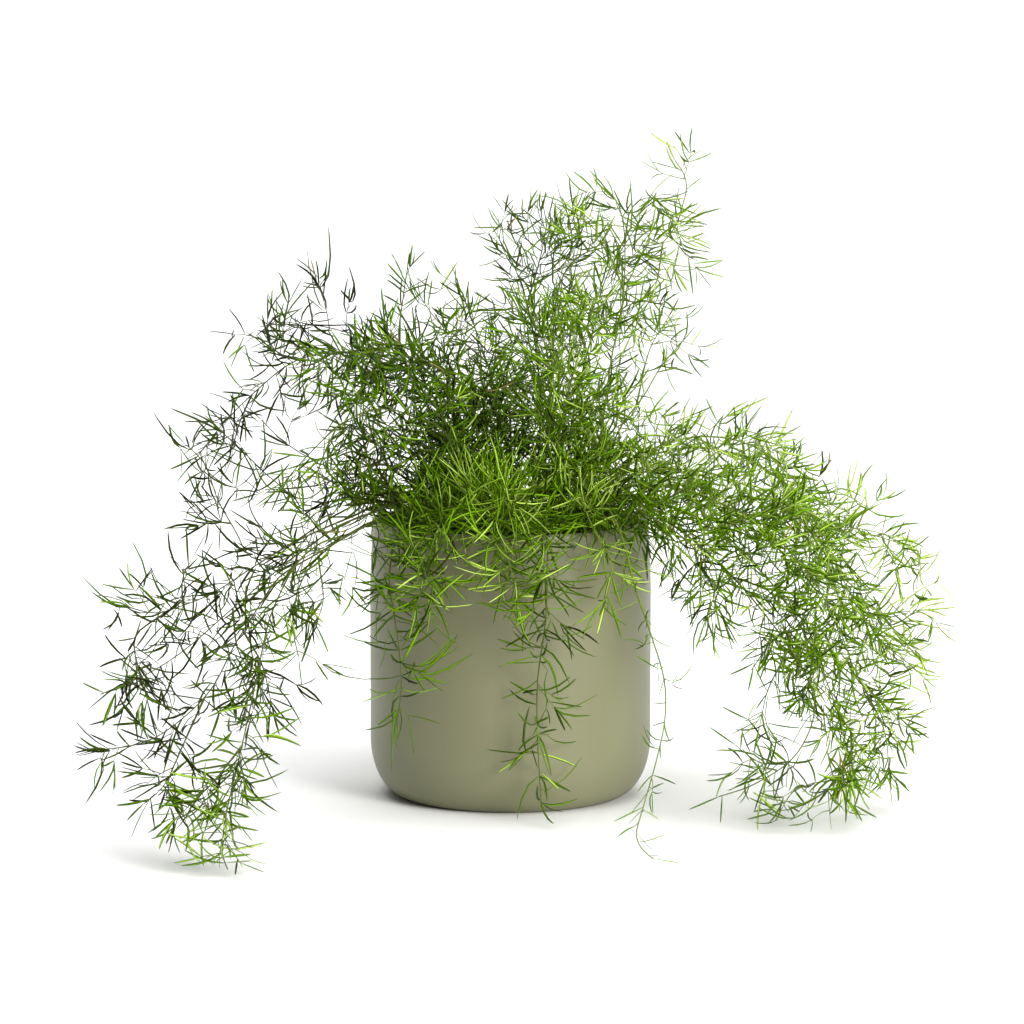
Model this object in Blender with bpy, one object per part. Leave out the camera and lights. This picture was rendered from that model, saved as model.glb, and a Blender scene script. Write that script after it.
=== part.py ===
"""An asparagus fern of the loose, trailing kind, growing in a plain round pot.

Frame: the origin is the middle of the pot's flat base, on the surface it stands on. +Z is up, and the
front of the plant looks towards -Y. Lengths are in millimetres until a mesh is made, and metres there.

Every leafy stem is one object: a wiry stem, its side branches and twigs, and three-sided needles, joined
by one Boolean union. Each stem stands in its own hole in the soil.
"""

import math

import bmesh
import bpy
import numpy as np

MM = 0.001

# The pot: a plain cylinder, a little narrower at the lip, with a broad round bottom edge.
POT_HEIGHT = 148.0
POT_RADIUS = 75.0
POT_LIP_RADIUS = 73.8
POT_WALL = 4.0
POT_FLOOR = 6.0
POT_CORNER_IN = 18.0
POT_CORNER_UP = 31.0
POT_STRAIGHT_TOP = 110.0
POT_SIDES = 32

# The soil fills the pot to a little under its lip.
SOIL_TOP = 133.0
SOIL_DOME = 2.5
SOIL_SIDES = 24
GAP = 0.3

# Stems stand upright in plain round holes, on a triangular grid.
ROOT_DEPTH = 22.0
ROOT_SPACING = 9.0
ROOT_REACH = 50.0
HOLE_RADIUS = 2.3

# Stems, branches and twigs have four sides, and what grows from them stands on one of these.
SIDES = 4
STEP = 8.0
BEND_KEPT = 1.6
STEM_RADIUS = 1.5
BRANCH_RADIUS = 1.1
TWIG_RADIUS = 0.85
TIP_SHARE = 0.8
STEM_APART = 6.5
GOLDEN_ANGLE = math.radians(137.508)

# Needles.
NEEDLE_LENGTH = 16.5
NEEDLE_RADIUS = 0.5
NEEDLE_GAP = 12.5
NEEDLE_LEAN = math.radians(56.0)
CLEAR = 0.35
FLAT_ANGLE = 0.0005
LEAFY_END = 40.0
SEED = 5213


class Stem:
    """A leafy stem: its name, its route from the soil, its side branches and how leafy it is.

    A route is a list of points that the stem passes through above the soil. A branch's first point lies
    on the stem. Twigs stand every twig_gap along them, twig_length long, sinking by droop of their length.
    """

    def __init__(self, name, route, branches=(), twig_gap=46.0, twig_length=30.0, droop=0.15, bare=20.0):
        self.name = name
        self.routes = [route, *branches]
        self.twig_gap = twig_gap
        self.twig_length = twig_length
        self.droop = droop
        self.bare = bare


STEMS = [
    # The tall crest, leaning to the right.
    Stem(
        "stem_crest_top",
        [(20, 8, 189), (23, 12, 250), (27, 12, 274), (38, 10, 288), (58, 8, 293), (79, 5, 294),
         (88, 5, 305), (92, 5, 318), (93, 4, 328), (87, 2, 338)],
        [[(78, 5, 294), (76, -5, 273), (68, -10, 255), (63, -14, 246)],
         [(60, 7, 292), (60, -8, 276), (58, -14, 252)],
         [(42, 10, 290), (35, 16, 301), (33, 20, 314)],
         [(66, 6, 294), (74, 14, 301), (86, 18, 300), (96, 20, 295)]],
        twig_length=26.0, droop=0.0, bare=60.0,
    ),
    Stem(
        "stem_crest_middle",
        [(47, -20, 192), (53, -22, 235), (59, -20, 266), (60, -15, 297), (57, -10, 315), (50, -8, 324)],
        [[(60, -15, 297), (63, -20, 314), (72, -22, 320), (82, -24, 317)],
         [(59, -19, 270), (48, -22, 298), (36, -24, 310)]],
        droop=0.0,
    ),
    Stem(
        "stem_crest_left",
        [(16, 30, 209), (11, 38, 251), (3, 32, 278), (-6, 28, 295)],
        [[(9, 37, 258), (16, 30, 285), (20, 25, 306)]],
        droop=0.0,
    ),
    Stem(
        "stem_crest_front",
        [(26, -40, 199), (33, -55, 232), (41, -55, 258), (47, -50, 276)],
        [[(31, -50, 222), (18, -60, 245), (9, -62, 264)]],
        droop=0.0,
    ),
    Stem(
        "stem_crest_side",
        [(55, -5, 190), (71, -8, 215), (79, -8, 229), (89, -8, 241)],
        [[(69, -8, 212), (74, 0, 238), (84, 6, 255)]],
        droop=0.0,
    ),
    # Thin upright shoots left of the crest.
    Stem(
        "stem_sprig_tall",
        [(-33, 30, 192), (-54, 35, 222), (-60, 30, 241), (-58, 28, 261), (-56, 28, 275)],
        droop=-0.1, twig_length=20.0,
    ),
    Stem(
        "stem_sprig_middle",
        [(-8, 10, 210), (-15, 15, 237), (-22, 15, 257), (-26, 12, 268)],
        [[(-14, 14, 234), (-27, 18, 243), (-39, 20, 252), (-47, 22, 263)]],
        droop=-0.1, twig_length=22.0,
    ),
    # The left shoulder and the long arches beyond it.
    Stem(
        "stem_shoulder_high",
        [(-21, -10, 212), (-42, -20, 232), (-66, -25, 239), (-87, -25, 239), (-104, -22, 230)],
        [[(-66, -25, 239), (-76, -35, 223), (-83, -40, 210)]],
    ),
    Stem(
        "stem_shoulder_low",
        [(-32, -30, 193), (-52, -50, 208), (-70, -58, 212), (-88, -60, 204), (-106, -58, 187),
         (-117, -56, 174)],
        [[(-70, -58, 212), (-75, -62, 191), (-83, -64, 173)],
         [(-93, -60, 201), (-100, -62, 181), (-103, -64, 163)]],
    ),
    Stem(
        "stem_shoulder_back",
        [(-30, 20, 183), (-60, 35, 192), (-82, 45, 185), (-104, 50, 174), (-123, 48, 184), (-135, 46, 196)],
        [[(-60, 35, 192), (-76, 38, 170), (-90, 36, 154)]],
    ),
    Stem(
        "stem_far_high",
        [(-28, 46, 200), (-58, 76, 229), (-89, 90, 240), (-114, 95, 244), (-131, 95, 237)],
    ),
    Stem(
        "stem_far_left",
        [(-38, 45, 202), (-66, 65, 226), (-94, 78, 230), (-119, 82, 225), (-141, 82, 208),
         (-159, 80, 190), (-174, 76, 171)],
        [[(-119, 82, 225), (-129, 84, 229), (-134, 86, 238), (-134, 86, 248)],
         [(-141, 82, 208), (-149, 84, 192), (-154, 84, 176)]],
    ),
    Stem(
        "stem_loop_low",
        [(-58, -20, 166), (-89, -40, 156), (-115, -55, 141), (-133, -60, 134), (-143, -62, 150),
         (-152, -60, 166), (-158, -58, 183), (-168, -55, 193)],
        [[(-115, -55, 141), (-129, -52, 151), (-136, -50, 164), (-129, -48, 179)],
         [(-143, -62, 150), (-156, -62, 155), (-163, -60, 161)]],
        twig_length=20.0, droop=0.0,
    ),
    Stem(
        "stem_loop_high",
        [(-59, 20, 172), (-89, 30, 170), (-111, 35, 154), (-130, 35, 166), (-143, 32, 179),
         (-155, 28, 191)],
        twig_length=20.0, droop=0.0,
    ),
    # Stems that spill over the lip on the left and hang down to the surface in front.
    Stem(
        "stem_trail_upper",
        [(-58, -40, 163), (-83, -70, 157), (-107, -95, 149), (-129, -115, 138), (-148, -130, 127),
         (-162, -140, 122), (-177, -150, 119), (-192, -152, 123)],
        [[(-170, -145, 121), (-186, -158, 109), (-184, -162, 92), (-179, -166, 75)],
         [(-162, -140, 122), (-164, -138, 134), (-160, -136, 143)]],
        twig_length=22.0,
    ),
    Stem(
        "stem_trail_outer",
        [(-52, -50, 161), (-82, -88, 155), (-111, -118, 141), (-137, -145, 122), (-159, -160, 104),
         (-178, -168, 92), (-202, -174, 82)],
        [[(-137, -145, 122), (-135, -152, 101), (-123, -158, 81)]],
        twig_length=22.0,
    ),
    Stem(
        "stem_trail_middle",
        [(-47, -55, 160), (-82, -98, 152), (-113, -134, 136), (-134, -160, 109), (-148, -175, 84),
         (-167, -185, 67), (-182, -190, 60), (-197, -192, 58)],
        [[(-150, -176, 82), (-161, -190, 58), (-169, -196, 41), (-179, -199, 32)],
         [(-134, -158, 108), (-124, -152, 92), (-119, -150, 72)]],
        twig_length=22.0,
    ),
    Stem(
        "stem_trail_lower",
        [(-50, -45, 159), (-85, -92, 153), (-109, -126, 139), (-120, -148, 116), (-126, -171, 86),
         (-132, -190, 57), (-138, -205, 30), (-140, -213, 12), (-137, -220, 4)],
        [[(-132, -190, 57), (-145, -196, 42), (-154, -201, 34), (-163, -206, 26)]],
        twig_length=22.0,
    ),
    Stem(
        "stem_trail_inner",
        [(-47, -40, 155), (-78, -70, 151), (-100, -88, 137), (-109, -98, 121), (-111, -102, 105),
         (-108, -104, 90)],
        [[(-100, -88, 137), (-96, -94, 117), (-101, -96, 102)]],
        twig_length=20.0,
    ),
    # Stems that hang in front of the pot.
    Stem(
        "stem_front_left",
        [(-42, -55, 158), (-57, -78, 150), (-62, -88, 130), (-60, -92, 112), (-57, -94, 92),
         (-56, -94, 71), (-58, -94, 57)],
        twig_gap=38.0, twig_length=14.0,
    ),
    Stem(
        "stem_lip_left",
        [(-29, -60, 162), (-38, -84, 151), (-44, -94, 130), (-48, -98, 114)],
        twig_gap=25.0, twig_length=20.0,
    ),
    Stem(
        "stem_front_star",
        [(-3, -45, 153), (-4, -70, 164), (-3, -95, 172)],
        twig_gap=16.0, twig_length=22.0,
    ),
    Stem(
        "stem_lip_middle",
        [(-8, -60, 160), (-5, -86, 151), (1, -96, 131), (4, -98, 116)],
        twig_gap=25.0, twig_length=20.0,
    ),
    Stem(
        "stem_front_centre",
        [(10, -50, 159), (18, -80, 152), (19, -94, 138), (18, -96, 107), (14, -94, 76), (14, -91, 44),
         (16, -88, 9)],
        twig_gap=32.0, twig_length=15.0,
    ),
    Stem(
        "stem_front_right",
        [(48, -50, 161), (57, -84, 149), (63, -108, 127), (71, -126, 104), (77, -142, 84), (77, -152, 65),
         (72, -164, 45), (66, -176, 27), (62, -188, 12), (70, -196, 4)],
        twig_gap=60.0, twig_length=12.0,
    ),
    Stem(
        "stem_lip_right",
        [(34, -54, 166), (42, -84, 154), (52, -97, 136), (48, -102, 116)],
        twig_gap=26.0, twig_length=16.0,
    ),
    # The broad arch on the right, falling forwards to the surface.
    Stem(
        "stem_arch_top",
        [(58, 0, 174), (82, 5, 187), (107, 8, 191), (133, 8, 184), (158, 5, 162), (181, 0, 144),
         (205, -5, 136)],
        [[(81, 5, 186), (86, 8, 197), (96, 10, 202)],
         [(119, 8, 190), (128, 14, 194), (139, 16, 186)]],
    ),
    Stem(
        "stem_arch_outer",
        [(61, -10, 170), (95, -18, 176), (131, -24, 165), (163, -28, 140), (181, -28, 108),
         (196, -26, 86), (214, -24, 71)],
        [[(163, -28, 140), (181, -30, 146), (199, -32, 143)],
         [(188, -28, 98), (205, -26, 101), (218, -24, 102)]],
    ),
    Stem(
        "stem_arch_middle",
        [(58, -20, 166), (94, -38, 167), (125, -50, 153), (150, -58, 133), (169, -62, 102),
         (182, -62, 71), (204, -60, 50)],
        [[(169, -62, 102), (161, -68, 82), (150, -70, 62)],
         [(182, -62, 71), (195, -60, 44), (198, -58, 20)]],
    ),
    Stem(
        "stem_arch_inner",
        [(55, -30, 164), (88, -55, 159), (118, -72, 140), (141, -84, 116), (156, -92, 89), (168, -98, 59),
         (174, -102, 31), (177, -106, 9)],
        [[(173, -101, 38), (166, -106, 24), (150, -110, 14), (135, -112, 11)],
         [(167, -98, 61), (180, -98, 40), (192, -96, 27)]],
    ),
    Stem(
        "stem_arch_fall",
        [(52, -40, 164), (80, -66, 155), (105, -84, 137), (128, -96, 113), (148, -104, 85),
         (155, -108, 63), (145, -112, 40), (124, -116, 26), (106, -118, 20)],
        [[(145, -103, 92), (132, -106, 73), (127, -110, 55)],
         [(143, -112, 39), (127, -118, 38), (114, -120, 47)]],
    ),
    Stem(
        "stem_arch_under",
        [(49, -45, 163), (72, -78, 158), (92, -92, 146), (104, -100, 126), (99, -104, 108)],
    ),
    Stem(
        "stem_arch_back",
        [(59, 25, 171), (97, 45, 181), (134, 62, 171), (165, 75, 143), (188, 80, 109), (205, 80, 70)],
        [[(134, 62, 171), (150, 84, 158), (162, 98, 138)]],
    ),
    # The back, as full as the front: an upright stem, two arches and three that hang over the lip.
    Stem(
        "stem_back_crest",
        [(34, 40, 200), (44, 58, 240), (52, 66, 272), (66, 66, 296)],
        [[(44, 58, 240), (60, 72, 254), (78, 80, 262)]],
        droop=0.0,
    ),
    Stem(
        "stem_back_middle",
        [(0, 56, 190), (-4, 84, 214), (-10, 108, 216), (-14, 130, 200), (-16, 146, 172)],
        [[(-10, 108, 216), (8, 126, 210), (20, 140, 194)]],
    ),
    Stem(
        "stem_back_arch_left",
        [(-46, 46, 170), (-62, 80, 179), (-82, 112, 168), (-104, 134, 140), (-118, 146, 106),
         (-124, 150, 74)],
        [[(-82, 112, 168), (-72, 132, 152), (-66, 144, 128)]],
    ),
    Stem(
        "stem_back_arch_right",
        [(36, 52, 172), (62, 88, 178), (84, 118, 164), (102, 138, 134), (112, 150, 98), (116, 154, 62)],
        [[(84, 118, 164), (104, 122, 154), (124, 122, 134)]],
    ),
    Stem(
        "stem_back_hang_left",
        [(-22, 56, 162), (-38, 86, 154), (-52, 94, 128), (-54, 98, 96), (-50, 100, 62)],
        twig_length=22.0,
    ),
    Stem(
        "stem_back_hang_right",
        [(22, 60, 160), (30, 86, 151), (34, 98, 126), (34, 102, 92), (30, 102, 56), (30, 104, 26)],
        twig_length=22.0,
    ),
]


def smooth_curve(points, step):
    """Samples about step apart of the smooth curve that passes through the points."""
    knots = np.array(points, float)
    knots = np.vstack([2 * knots[0] - knots[1], knots, 2 * knots[-1] - knots[-2]])
    t = np.linspace(0, 1, 12, endpoint=False)[:, None]
    pieces = []
    for a, b, c, d in zip(knots, knots[1:], knots[2:], knots[3:]):
        square = 2 * a - 5 * b + 4 * c - d
        cube = 3 * b - a - 3 * c + d
        pieces.append(b + 0.5 * ((c - a) * t + square * t**2 + cube * t**3))
    fine = np.vstack([*pieces, knots[-2]])
    return resample(fine, step)


def resample(points, step):
    """Points about step apart along a chain of points, with the same ends."""
    along = np.concatenate([[0], np.cumsum(np.linalg.norm(np.diff(points, axis=0), axis=1))])
    count = max(2, round(along[-1] / step) + 1)
    even = np.linspace(0, along[-1], count)
    return np.stack([np.interp(even, along, points[:, axis]) for axis in range(3)], axis=1)


def straightened(points):
    """The chain with only the points that keep it within BEND_KEPT of its shape."""
    chord = points[-1] - points[0]
    away = np.cross(points - points[0], chord / np.linalg.norm(chord))
    away = np.linalg.norm(away, axis=1)
    far = int(np.argmax(away))
    if away[far] < BEND_KEPT or len(points) < 3:
        return np.array([points[0], points[-1]])
    return np.vstack([straightened(points[: far + 1])[:-1], straightened(points[far:])])


def unit(vector):
    return vector / np.linalg.norm(vector)


def side_direction(axis):
    """A level direction square to an axis."""
    level = np.cross(axis, (0.0, 0.0, 1.0))
    if np.linalg.norm(level) < 0.1:
        level = np.cross(axis, (0.0, 1.0, 0.0))
    return unit(level)


def turned(out, axis, angle):
    """A direction square to the axis, turned round it by an angle."""
    return math.cos(angle) * out + math.sin(angle) * np.cross(axis, out)


def soil_height(x, y):
    """The soil's surface is a little higher in the middle than at the wall."""
    return SOIL_TOP + SOIL_DOME * (1 - (x * x + y * y) / POT_RADIUS**2)


def choose_roots(stems):
    """Give each stem the free place on a triangular grid nearest to where it leaves the pot."""
    reach = int(ROOT_REACH / ROOT_SPACING) + 2
    grid = [
        (ROOT_SPACING * (i + 0.5 * (j % 2)), ROOT_SPACING * j * math.sqrt(0.75))
        for i in range(-reach, reach + 1)
        for j in range(-reach, reach + 1)
    ]
    free = [place for place in grid if math.hypot(*place) < ROOT_REACH]
    roots = []
    for stem in stems:
        aim = np.array(stem.routes[0][0][:2], float)
        aim *= min(0.8, (ROOT_REACH - 4) / np.linalg.norm(aim))
        nearest = min(free, key=lambda place: math.dist(place, aim))
        free.remove(nearest)
        roots.append(nearest)
    return roots


class Run:
    """One unbranched length of a leafy stem: its middle line, its sides and how thick it is.

    It may end in a needle, which reaches from its last point to its tip.
    """

    def __init__(self, owner, points, radius, sides=SIDES):
        self.owner = owner
        self.points = points
        self.radius = radius
        self.sides = sides
        self.tip = None

    @property
    def is_branch(self):
        return self.radius < STEM_RADIUS

    def length(self):
        return float(np.linalg.norm(np.diff(self.points, axis=0), axis=1).sum())

    def frames(self):
        """At each point, the way along and the way across to the first edge, without twisting."""
        axes = np.gradient(self.points, axis=0)
        axes /= np.linalg.norm(axes, axis=1)[:, None]
        across = side_direction(axes[0])
        edges = []
        for axis in axes:
            across = unit(across - axis * (across @ axis))
            edges.append(across)
        return axes, np.array(edges)

    def seat(self, distance, side):
        """The middle at a distance along, the way along there and the way out through one side."""
        steps = np.linalg.norm(np.diff(self.points, axis=0), axis=1)
        along = np.concatenate([[0], np.cumsum(steps)])
        distance = min(max(distance, 0.0), along[-1] - 1e-6)
        index = int(np.searchsorted(along, distance, side="right")) - 1
        share = (distance - along[index]) / steps[index]
        foot = self.points[index] * (1 - share) + self.points[index + 1] * share
        axis = (self.points[index + 1] - self.points[index]) / steps[index]
        edges = self.frames()[1]
        edge = edges[index] * (1 - share) + edges[index + 1] * share
        edge = unit(edge - axis * (edge @ axis))
        turn = math.tau * (side + 0.5) / self.sides
        return foot, axis, math.cos(turn) * edge + math.sin(turn) * np.cross(axis, edge)


def lay_out_runs(stems, roots):
    runs = []
    for owner, (stem, (x, y)) in enumerate(zip(stems, roots)):
        ground = (x, y, soil_height(x, y) + 1)
        rise = (x, y, soil_height(x, y) + 9)
        points = smooth_curve([ground, rise, *stem.routes[0]], STEP)
        runs.append(Run(owner, points, STEM_RADIUS))
        for route in stem.routes[1:]:
            runs.append(Run(owner, smooth_curve(route, STEP), BRANCH_RADIUS))
    return runs


def bend_apart(runs):
    """Bend stems that pass too near each other until their middles are STEM_APART apart."""
    places = np.vstack([run.points for run in runs])
    owners = np.concatenate([np.full(len(run.points), run.owner) for run in runs])
    ends = np.cumsum([len(run.points) for run in runs])
    starts = ends - [len(run.points) for run in runs]
    strangers = owners[:, None] != owners[None, :]
    for _ in range(30):
        offset = places[:, None, :] - places[None, :, :]
        distance = np.sqrt((offset**2).sum(axis=2)) + 1e-9
        lack = np.where(strangers & (distance < STEM_APART), STEM_APART - distance, 0)
        if not lack.any():
            break
        push = (offset * (lack / distance)[:, :, None]).sum(axis=1) * 0.5
        for start, end, run in zip(starts, ends, runs):
            part = push[start:end]
            padded = np.vstack([part[:1], part, part[-1:]])
            part = (padded[:-2] + 2 * part + padded[2:]) / 3
            part[: 1 if run.is_branch else 2] = 0
            places[start:end] += part
    for start, end, run in zip(starts, ends, runs):
        run.points = places[start:end]


def join_branches(runs):
    """Move each branch's foot onto the stem that it grows from, easing the move out along the branch."""
    for run in runs:
        if not run.is_branch:
            trunk = run
            continue
        nearest = trunk.points[np.argmin(np.linalg.norm(trunk.points - run.points[0], axis=1))]
        ease = np.linspace(1, 0, len(run.points))[:, None] ** 2
        run.points = run.points + (nearest - run.points[0]) * ease


class Thicket:
    """The straight pieces placed so far, as start, end, radius and owner, to keep new ones clear."""

    def __init__(self):
        self.pieces = np.zeros((0, 8))

    def add(self, start, end, radius, owner):
        self.pieces = np.vstack([self.pieces, [*start, *end, radius, owner]])

    def is_clear(self, start, end, radius, owner):
        """Whether a new piece keeps clear of other owners' pieces, the pot, the soil and the surface."""
        samples = start + (end - start) * np.linspace(0, 1, 7)[:, None]
        out = np.hypot(samples[:, 0], samples[:, 1])
        height = samples[:, 2]
        at_pot = (out < POT_RADIUS + radius + 1) & (height < POT_HEIGHT + radius + 1)
        inside = (out < POT_LIP_RADIUS - POT_WALL - radius - 1) & (height > SOIL_TOP + SOIL_DOME + radius)
        if (at_pot & ~inside).any() or height.min() < radius + 0.4:
            return False
        others = self.pieces[self.pieces[:, 7] != owner]
        distance = nearest_approach(start, end, others[:, :3], others[:, 3:6])
        return bool((distance > others[:, 6] + radius + CLEAR).all())


def nearest_approach(start, end, starts, ends):
    """The least distance from one straight piece to each of many."""
    along = end - start
    others = ends - starts
    apart = start - starts
    own = along @ along
    theirs = (others * others).sum(axis=1)
    both = others @ along
    lean = apart @ along
    reach = (others * apart).sum(axis=1)
    spread = np.maximum(own * theirs - both**2, 1e-9)
    here = np.clip((both * reach - lean * theirs) / spread, 0, 1)
    there = np.clip((both * here + reach) / theirs, 0, 1)
    here = np.clip((both * there - lean) / own, 0, 1)
    return np.linalg.norm(apart + here[:, None] * along - there[:, None] * others, axis=1)


def try_shoot(seat, lean, sink, length, radius, owner, thicket):
    """The end of a straight shoot that leans out from its seat, or None where others are in its way.

    The shoot is bent round its seat until it is clear. A twig also sinks a little under its weight.
    """
    foot, axis, out = seat
    for bend in (0, 30, -30, 60, -60, 90, -90):
        heading = math.cos(lean) * axis + math.sin(lean) * turned(out, axis, math.radians(bend))
        heading[2] -= sink
        end = foot + unit(heading) * length
        if thicket.is_clear(foot, end, radius, owner):
            thicket.add(foot, end, radius, owner)
            return end
    return None


def end_in_needle(run, rng, thicket):
    """Let a run end in a needle that carries its line on, or leans a little where others are near."""
    foot, axis, out = run.seat(run.length(), 0)
    length = NEEDLE_LENGTH * (0.75 + 0.3 * rng.random())
    for lean in (0, 0.3, -0.3, 0.6, -0.6):
        tip = foot + length * (math.cos(lean) * axis + math.sin(lean) * out)
        if thicket.is_clear(foot, tip, NEEDLE_RADIUS, run.owner):
            thicket.add(foot, tip, NEEDLE_RADIUS, run.owner)
            run.tip = tip
            return


def nearest_side(index, sides):
    """The side nearest to a golden angle further round than the last, so that all sides fill evenly."""
    return int(index * GOLDEN_ANGLE / math.tau * sides + 0.5) % sides


def grow_twigs(stem, run, rng, thicket):
    """Twigs along a run, from where it stops being bare."""
    length = run.length()
    bare = 6.0 if run.is_branch else stem.bare
    twigs = []
    for index in range(max(0, int((length - bare - 4) / stem.twig_gap + 0.5))):
        draw = rng.random(3)
        along = bare + stem.twig_gap * (index + 0.3 + 0.4 * draw[0])
        reach = stem.twig_length * (0.75 + 0.5 * draw[1]) * (1 - 0.3 * along / length)
        seat = run.seat(along, nearest_side(index, run.sides))
        lean = math.radians(46 + 22 * draw[2])
        end = try_shoot(seat, lean, stem.droop, reach, TWIG_RADIUS, run.owner, thicket)
        if end is not None:
            twigs.append(Run(run.owner, np.array([seat[0], end]), TWIG_RADIUS))
    return twigs


def grow_needles(run, bare, gap, first, rng, thicket):
    """Single needles round a run, each on the next side, the last one near its tip."""
    length = run.length()
    count = max(1, int((length - bare) / gap + 0.5))
    needles = []
    for index in range(count):
        draw = rng.random(3)
        along = length - 1.5 - gap * (count - 1 - index + 0.25 * draw[0])
        seat = run.seat(along, nearest_side(first + index, run.sides))
        lean = NEEDLE_LEAN + 0.35 * (draw[1] - 0.6)
        size = NEEDLE_LENGTH * (0.8 + 0.35 * draw[2])
        end = try_shoot(seat, lean, 0.0, size, NEEDLE_RADIUS, run.owner, thicket)
        if end is not None:
            needles.append((seat[0], end, seat[1]))
    return needles


def new_material(name, colour, roughness):
    material = bpy.data.materials.new(name)
    material.use_nodes = True
    shader = material.node_tree.nodes["Principled BSDF"]
    shader.inputs["Base Color"].default_value = (*colour, 1)
    shader.inputs["Roughness"].default_value = roughness
    shader.inputs["Metallic"].default_value = 0.0
    return material


def new_object(name, vertices, faces, material, collection=None):
    """An object whose mesh is given in millimetres."""
    mesh = bpy.data.meshes.new(name)
    mesh.from_pydata([tuple(MM * value for value in vertex) for vertex in vertices], [], faces)
    mesh.materials.append(material)
    mesh.validate()
    obj = bpy.data.objects.new(name, mesh)
    (collection or bpy.context.scene.collection).objects.link(obj)
    return obj


def tube(run):
    """Vertices and faces of a closed tube along a run, thinner towards its tip and any needle there."""
    sides = run.sides
    radii = run.radius * np.linspace(1, TIP_SHARE, len(run.points))
    vertices = []
    for point, axis, edge, radius in zip(run.points, *run.frames(), radii):
        vertices += [point + radius * turned(edge, axis, math.tau * side / sides) for side in range(sides)]
    last = len(vertices) - sides
    faces = [list(range(sides))[::-1]]
    if run.tip is None:
        faces.append(list(range(last, len(vertices))))
    else:
        faces += [[last + side, last + (side + 1) % sides, len(vertices)] for side in range(sides)]
        vertices.append(run.tip)
    for ring in range(len(run.points) - 1):
        low = ring * sides
        for side in range(sides):
            after = (side + 1) % sides
            faces.append([low + side, low + after, low + sides + after, low + sides + side])
    return vertices, faces


def spike(foot, end, stalk):
    """Vertices and faces of a three-sided needle that comes to a point, a corner towards its stalk."""
    axis = unit(end - foot)
    across = unit(np.cross(stalk, axis))
    ring = [foot + NEEDLE_RADIUS * turned(across, axis, math.tau * side / 3) for side in range(3)]
    return [*ring, end], [[2, 1, 0], [0, 1, 3], [1, 2, 3], [2, 0, 3]]


def tidy_union(mesh):
    """Merge the flat faces that the union split, and drop any scrap that it left beside the main body."""
    bm = bmesh.new()
    bm.from_mesh(mesh)
    bmesh.ops.dissolve_limit(bm, angle_limit=FLAT_ANGLE, verts=bm.verts, edges=bm.edges)
    bmesh.ops.triangulate(bm, faces=bm.faces)
    left = set(bm.verts)
    bodies = []
    while left:
        front = [left.pop()]
        body = set(front)
        while front:
            for edge in front.pop().link_edges:
                for vertex in edge.verts:
                    if vertex in left:
                        left.remove(vertex)
                        body.add(vertex)
                        front.append(vertex)
        bodies.append(body)
    bodies.sort(key=len)
    scraps = [vertex for body in bodies[:-1] for vertex in body]
    bmesh.ops.delete(bm, geom=scraps, context="VERTS")
    bm.to_mesh(mesh)
    bm.free()


def apply_modifiers(obj):
    graph = bpy.context.evaluated_depsgraph_get()
    mesh = bpy.data.meshes.new_from_object(obj.evaluated_get(graph))
    obj.modifiers.clear()
    obj.data = mesh


def make_stem(name, trunk, limbs, needles, material):
    """One leafy stem: its trunk, branches, twigs and needles joined by one union."""
    repeats = bpy.data.collections.new(name + "_repeats")
    bpy.context.scene.collection.children.link(repeats)
    obj = new_object(name, *tube(trunk), material)
    for limb in limbs:
        new_object("limb", *tube(limb), material, repeats)
    for foot, end, stalk in needles:
        new_object("needle", *spike(foot, end, stalk), material, repeats)
    union = obj.modifiers.new("join", "BOOLEAN")
    union.operation = "UNION"
    union.solver = "MANIFOLD"
    union.operand_type = "COLLECTION"
    union.collection = repeats
    apply_modifiers(obj)
    tidy_union(obj.data)
    for repeat in list(repeats.objects):
        bpy.data.objects.remove(repeat)
    bpy.data.collections.remove(repeats)
    return obj


def lathe(name, profile, sides, material):
    """A solid turned round the Z axis. The profile's first and last points are on the axis."""
    vertices = [(0, 0, profile[0][1])]
    for radius, height in profile[1:-1]:
        for side in range(sides):
            angle = math.tau * side / sides
            vertices.append((radius * math.cos(angle), radius * math.sin(angle), height))
    vertices.append((0, 0, profile[-1][1]))
    last = len(vertices) - 1
    faces = []
    for side in range(sides):
        after = (side + 1) % sides
        faces.append((0, 1 + after, 1 + side))
        for ring in range(len(profile) - 3):
            low = 1 + ring * sides
            faces.append((low + side, low + after, low + sides + after, low + sides + side))
        top = 1 + (len(profile) - 3) * sides
        faces.append((top + side, top + after, last))
    obj = new_object(name, vertices, faces, material)
    obj.data.shade_smooth()
    return obj


def corner_arc(radius, corner_in, corner_up, base, steps):
    """The round bottom edge, from the flat base out and up to the wall."""
    arc = []
    for step in range(steps + 1):
        angle = math.pi / 2 * step / steps
        arc.append((radius - corner_in * (1 - math.sin(angle)), base + corner_up * (1 - math.cos(angle))))
    return arc


def inner_profile(gap):
    """The pot's inside, moved inwards by a gap: its floor, round corner and wall up to the soil."""
    wall = POT_WALL + gap
    corner = corner_arc(POT_RADIUS - wall, POT_CORNER_IN - 2, POT_CORNER_UP - 4, POT_FLOOR + gap, 3)
    return [*corner, (POT_RADIUS - wall, POT_STRAIGHT_TOP)]


def make_pot(material):
    lip = POT_LIP_RADIUS
    rim = [
        (lip, POT_HEIGHT - 1.2),
        (lip - 1.2, POT_HEIGHT),
        (lip - POT_WALL + 1.2, POT_HEIGHT),
        (lip - POT_WALL, POT_HEIGHT - 1.2),
    ]
    outside = corner_arc(POT_RADIUS, POT_CORNER_IN, POT_CORNER_UP, 0.0, 5)
    outside.append((POT_RADIUS, POT_STRAIGHT_TOP))
    inside = inner_profile(0.0)[::-1]
    return lathe("pot", [(0, 0), *outside, *rim, *inside, (0, POT_FLOOR)], POT_SIDES, material)


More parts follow.
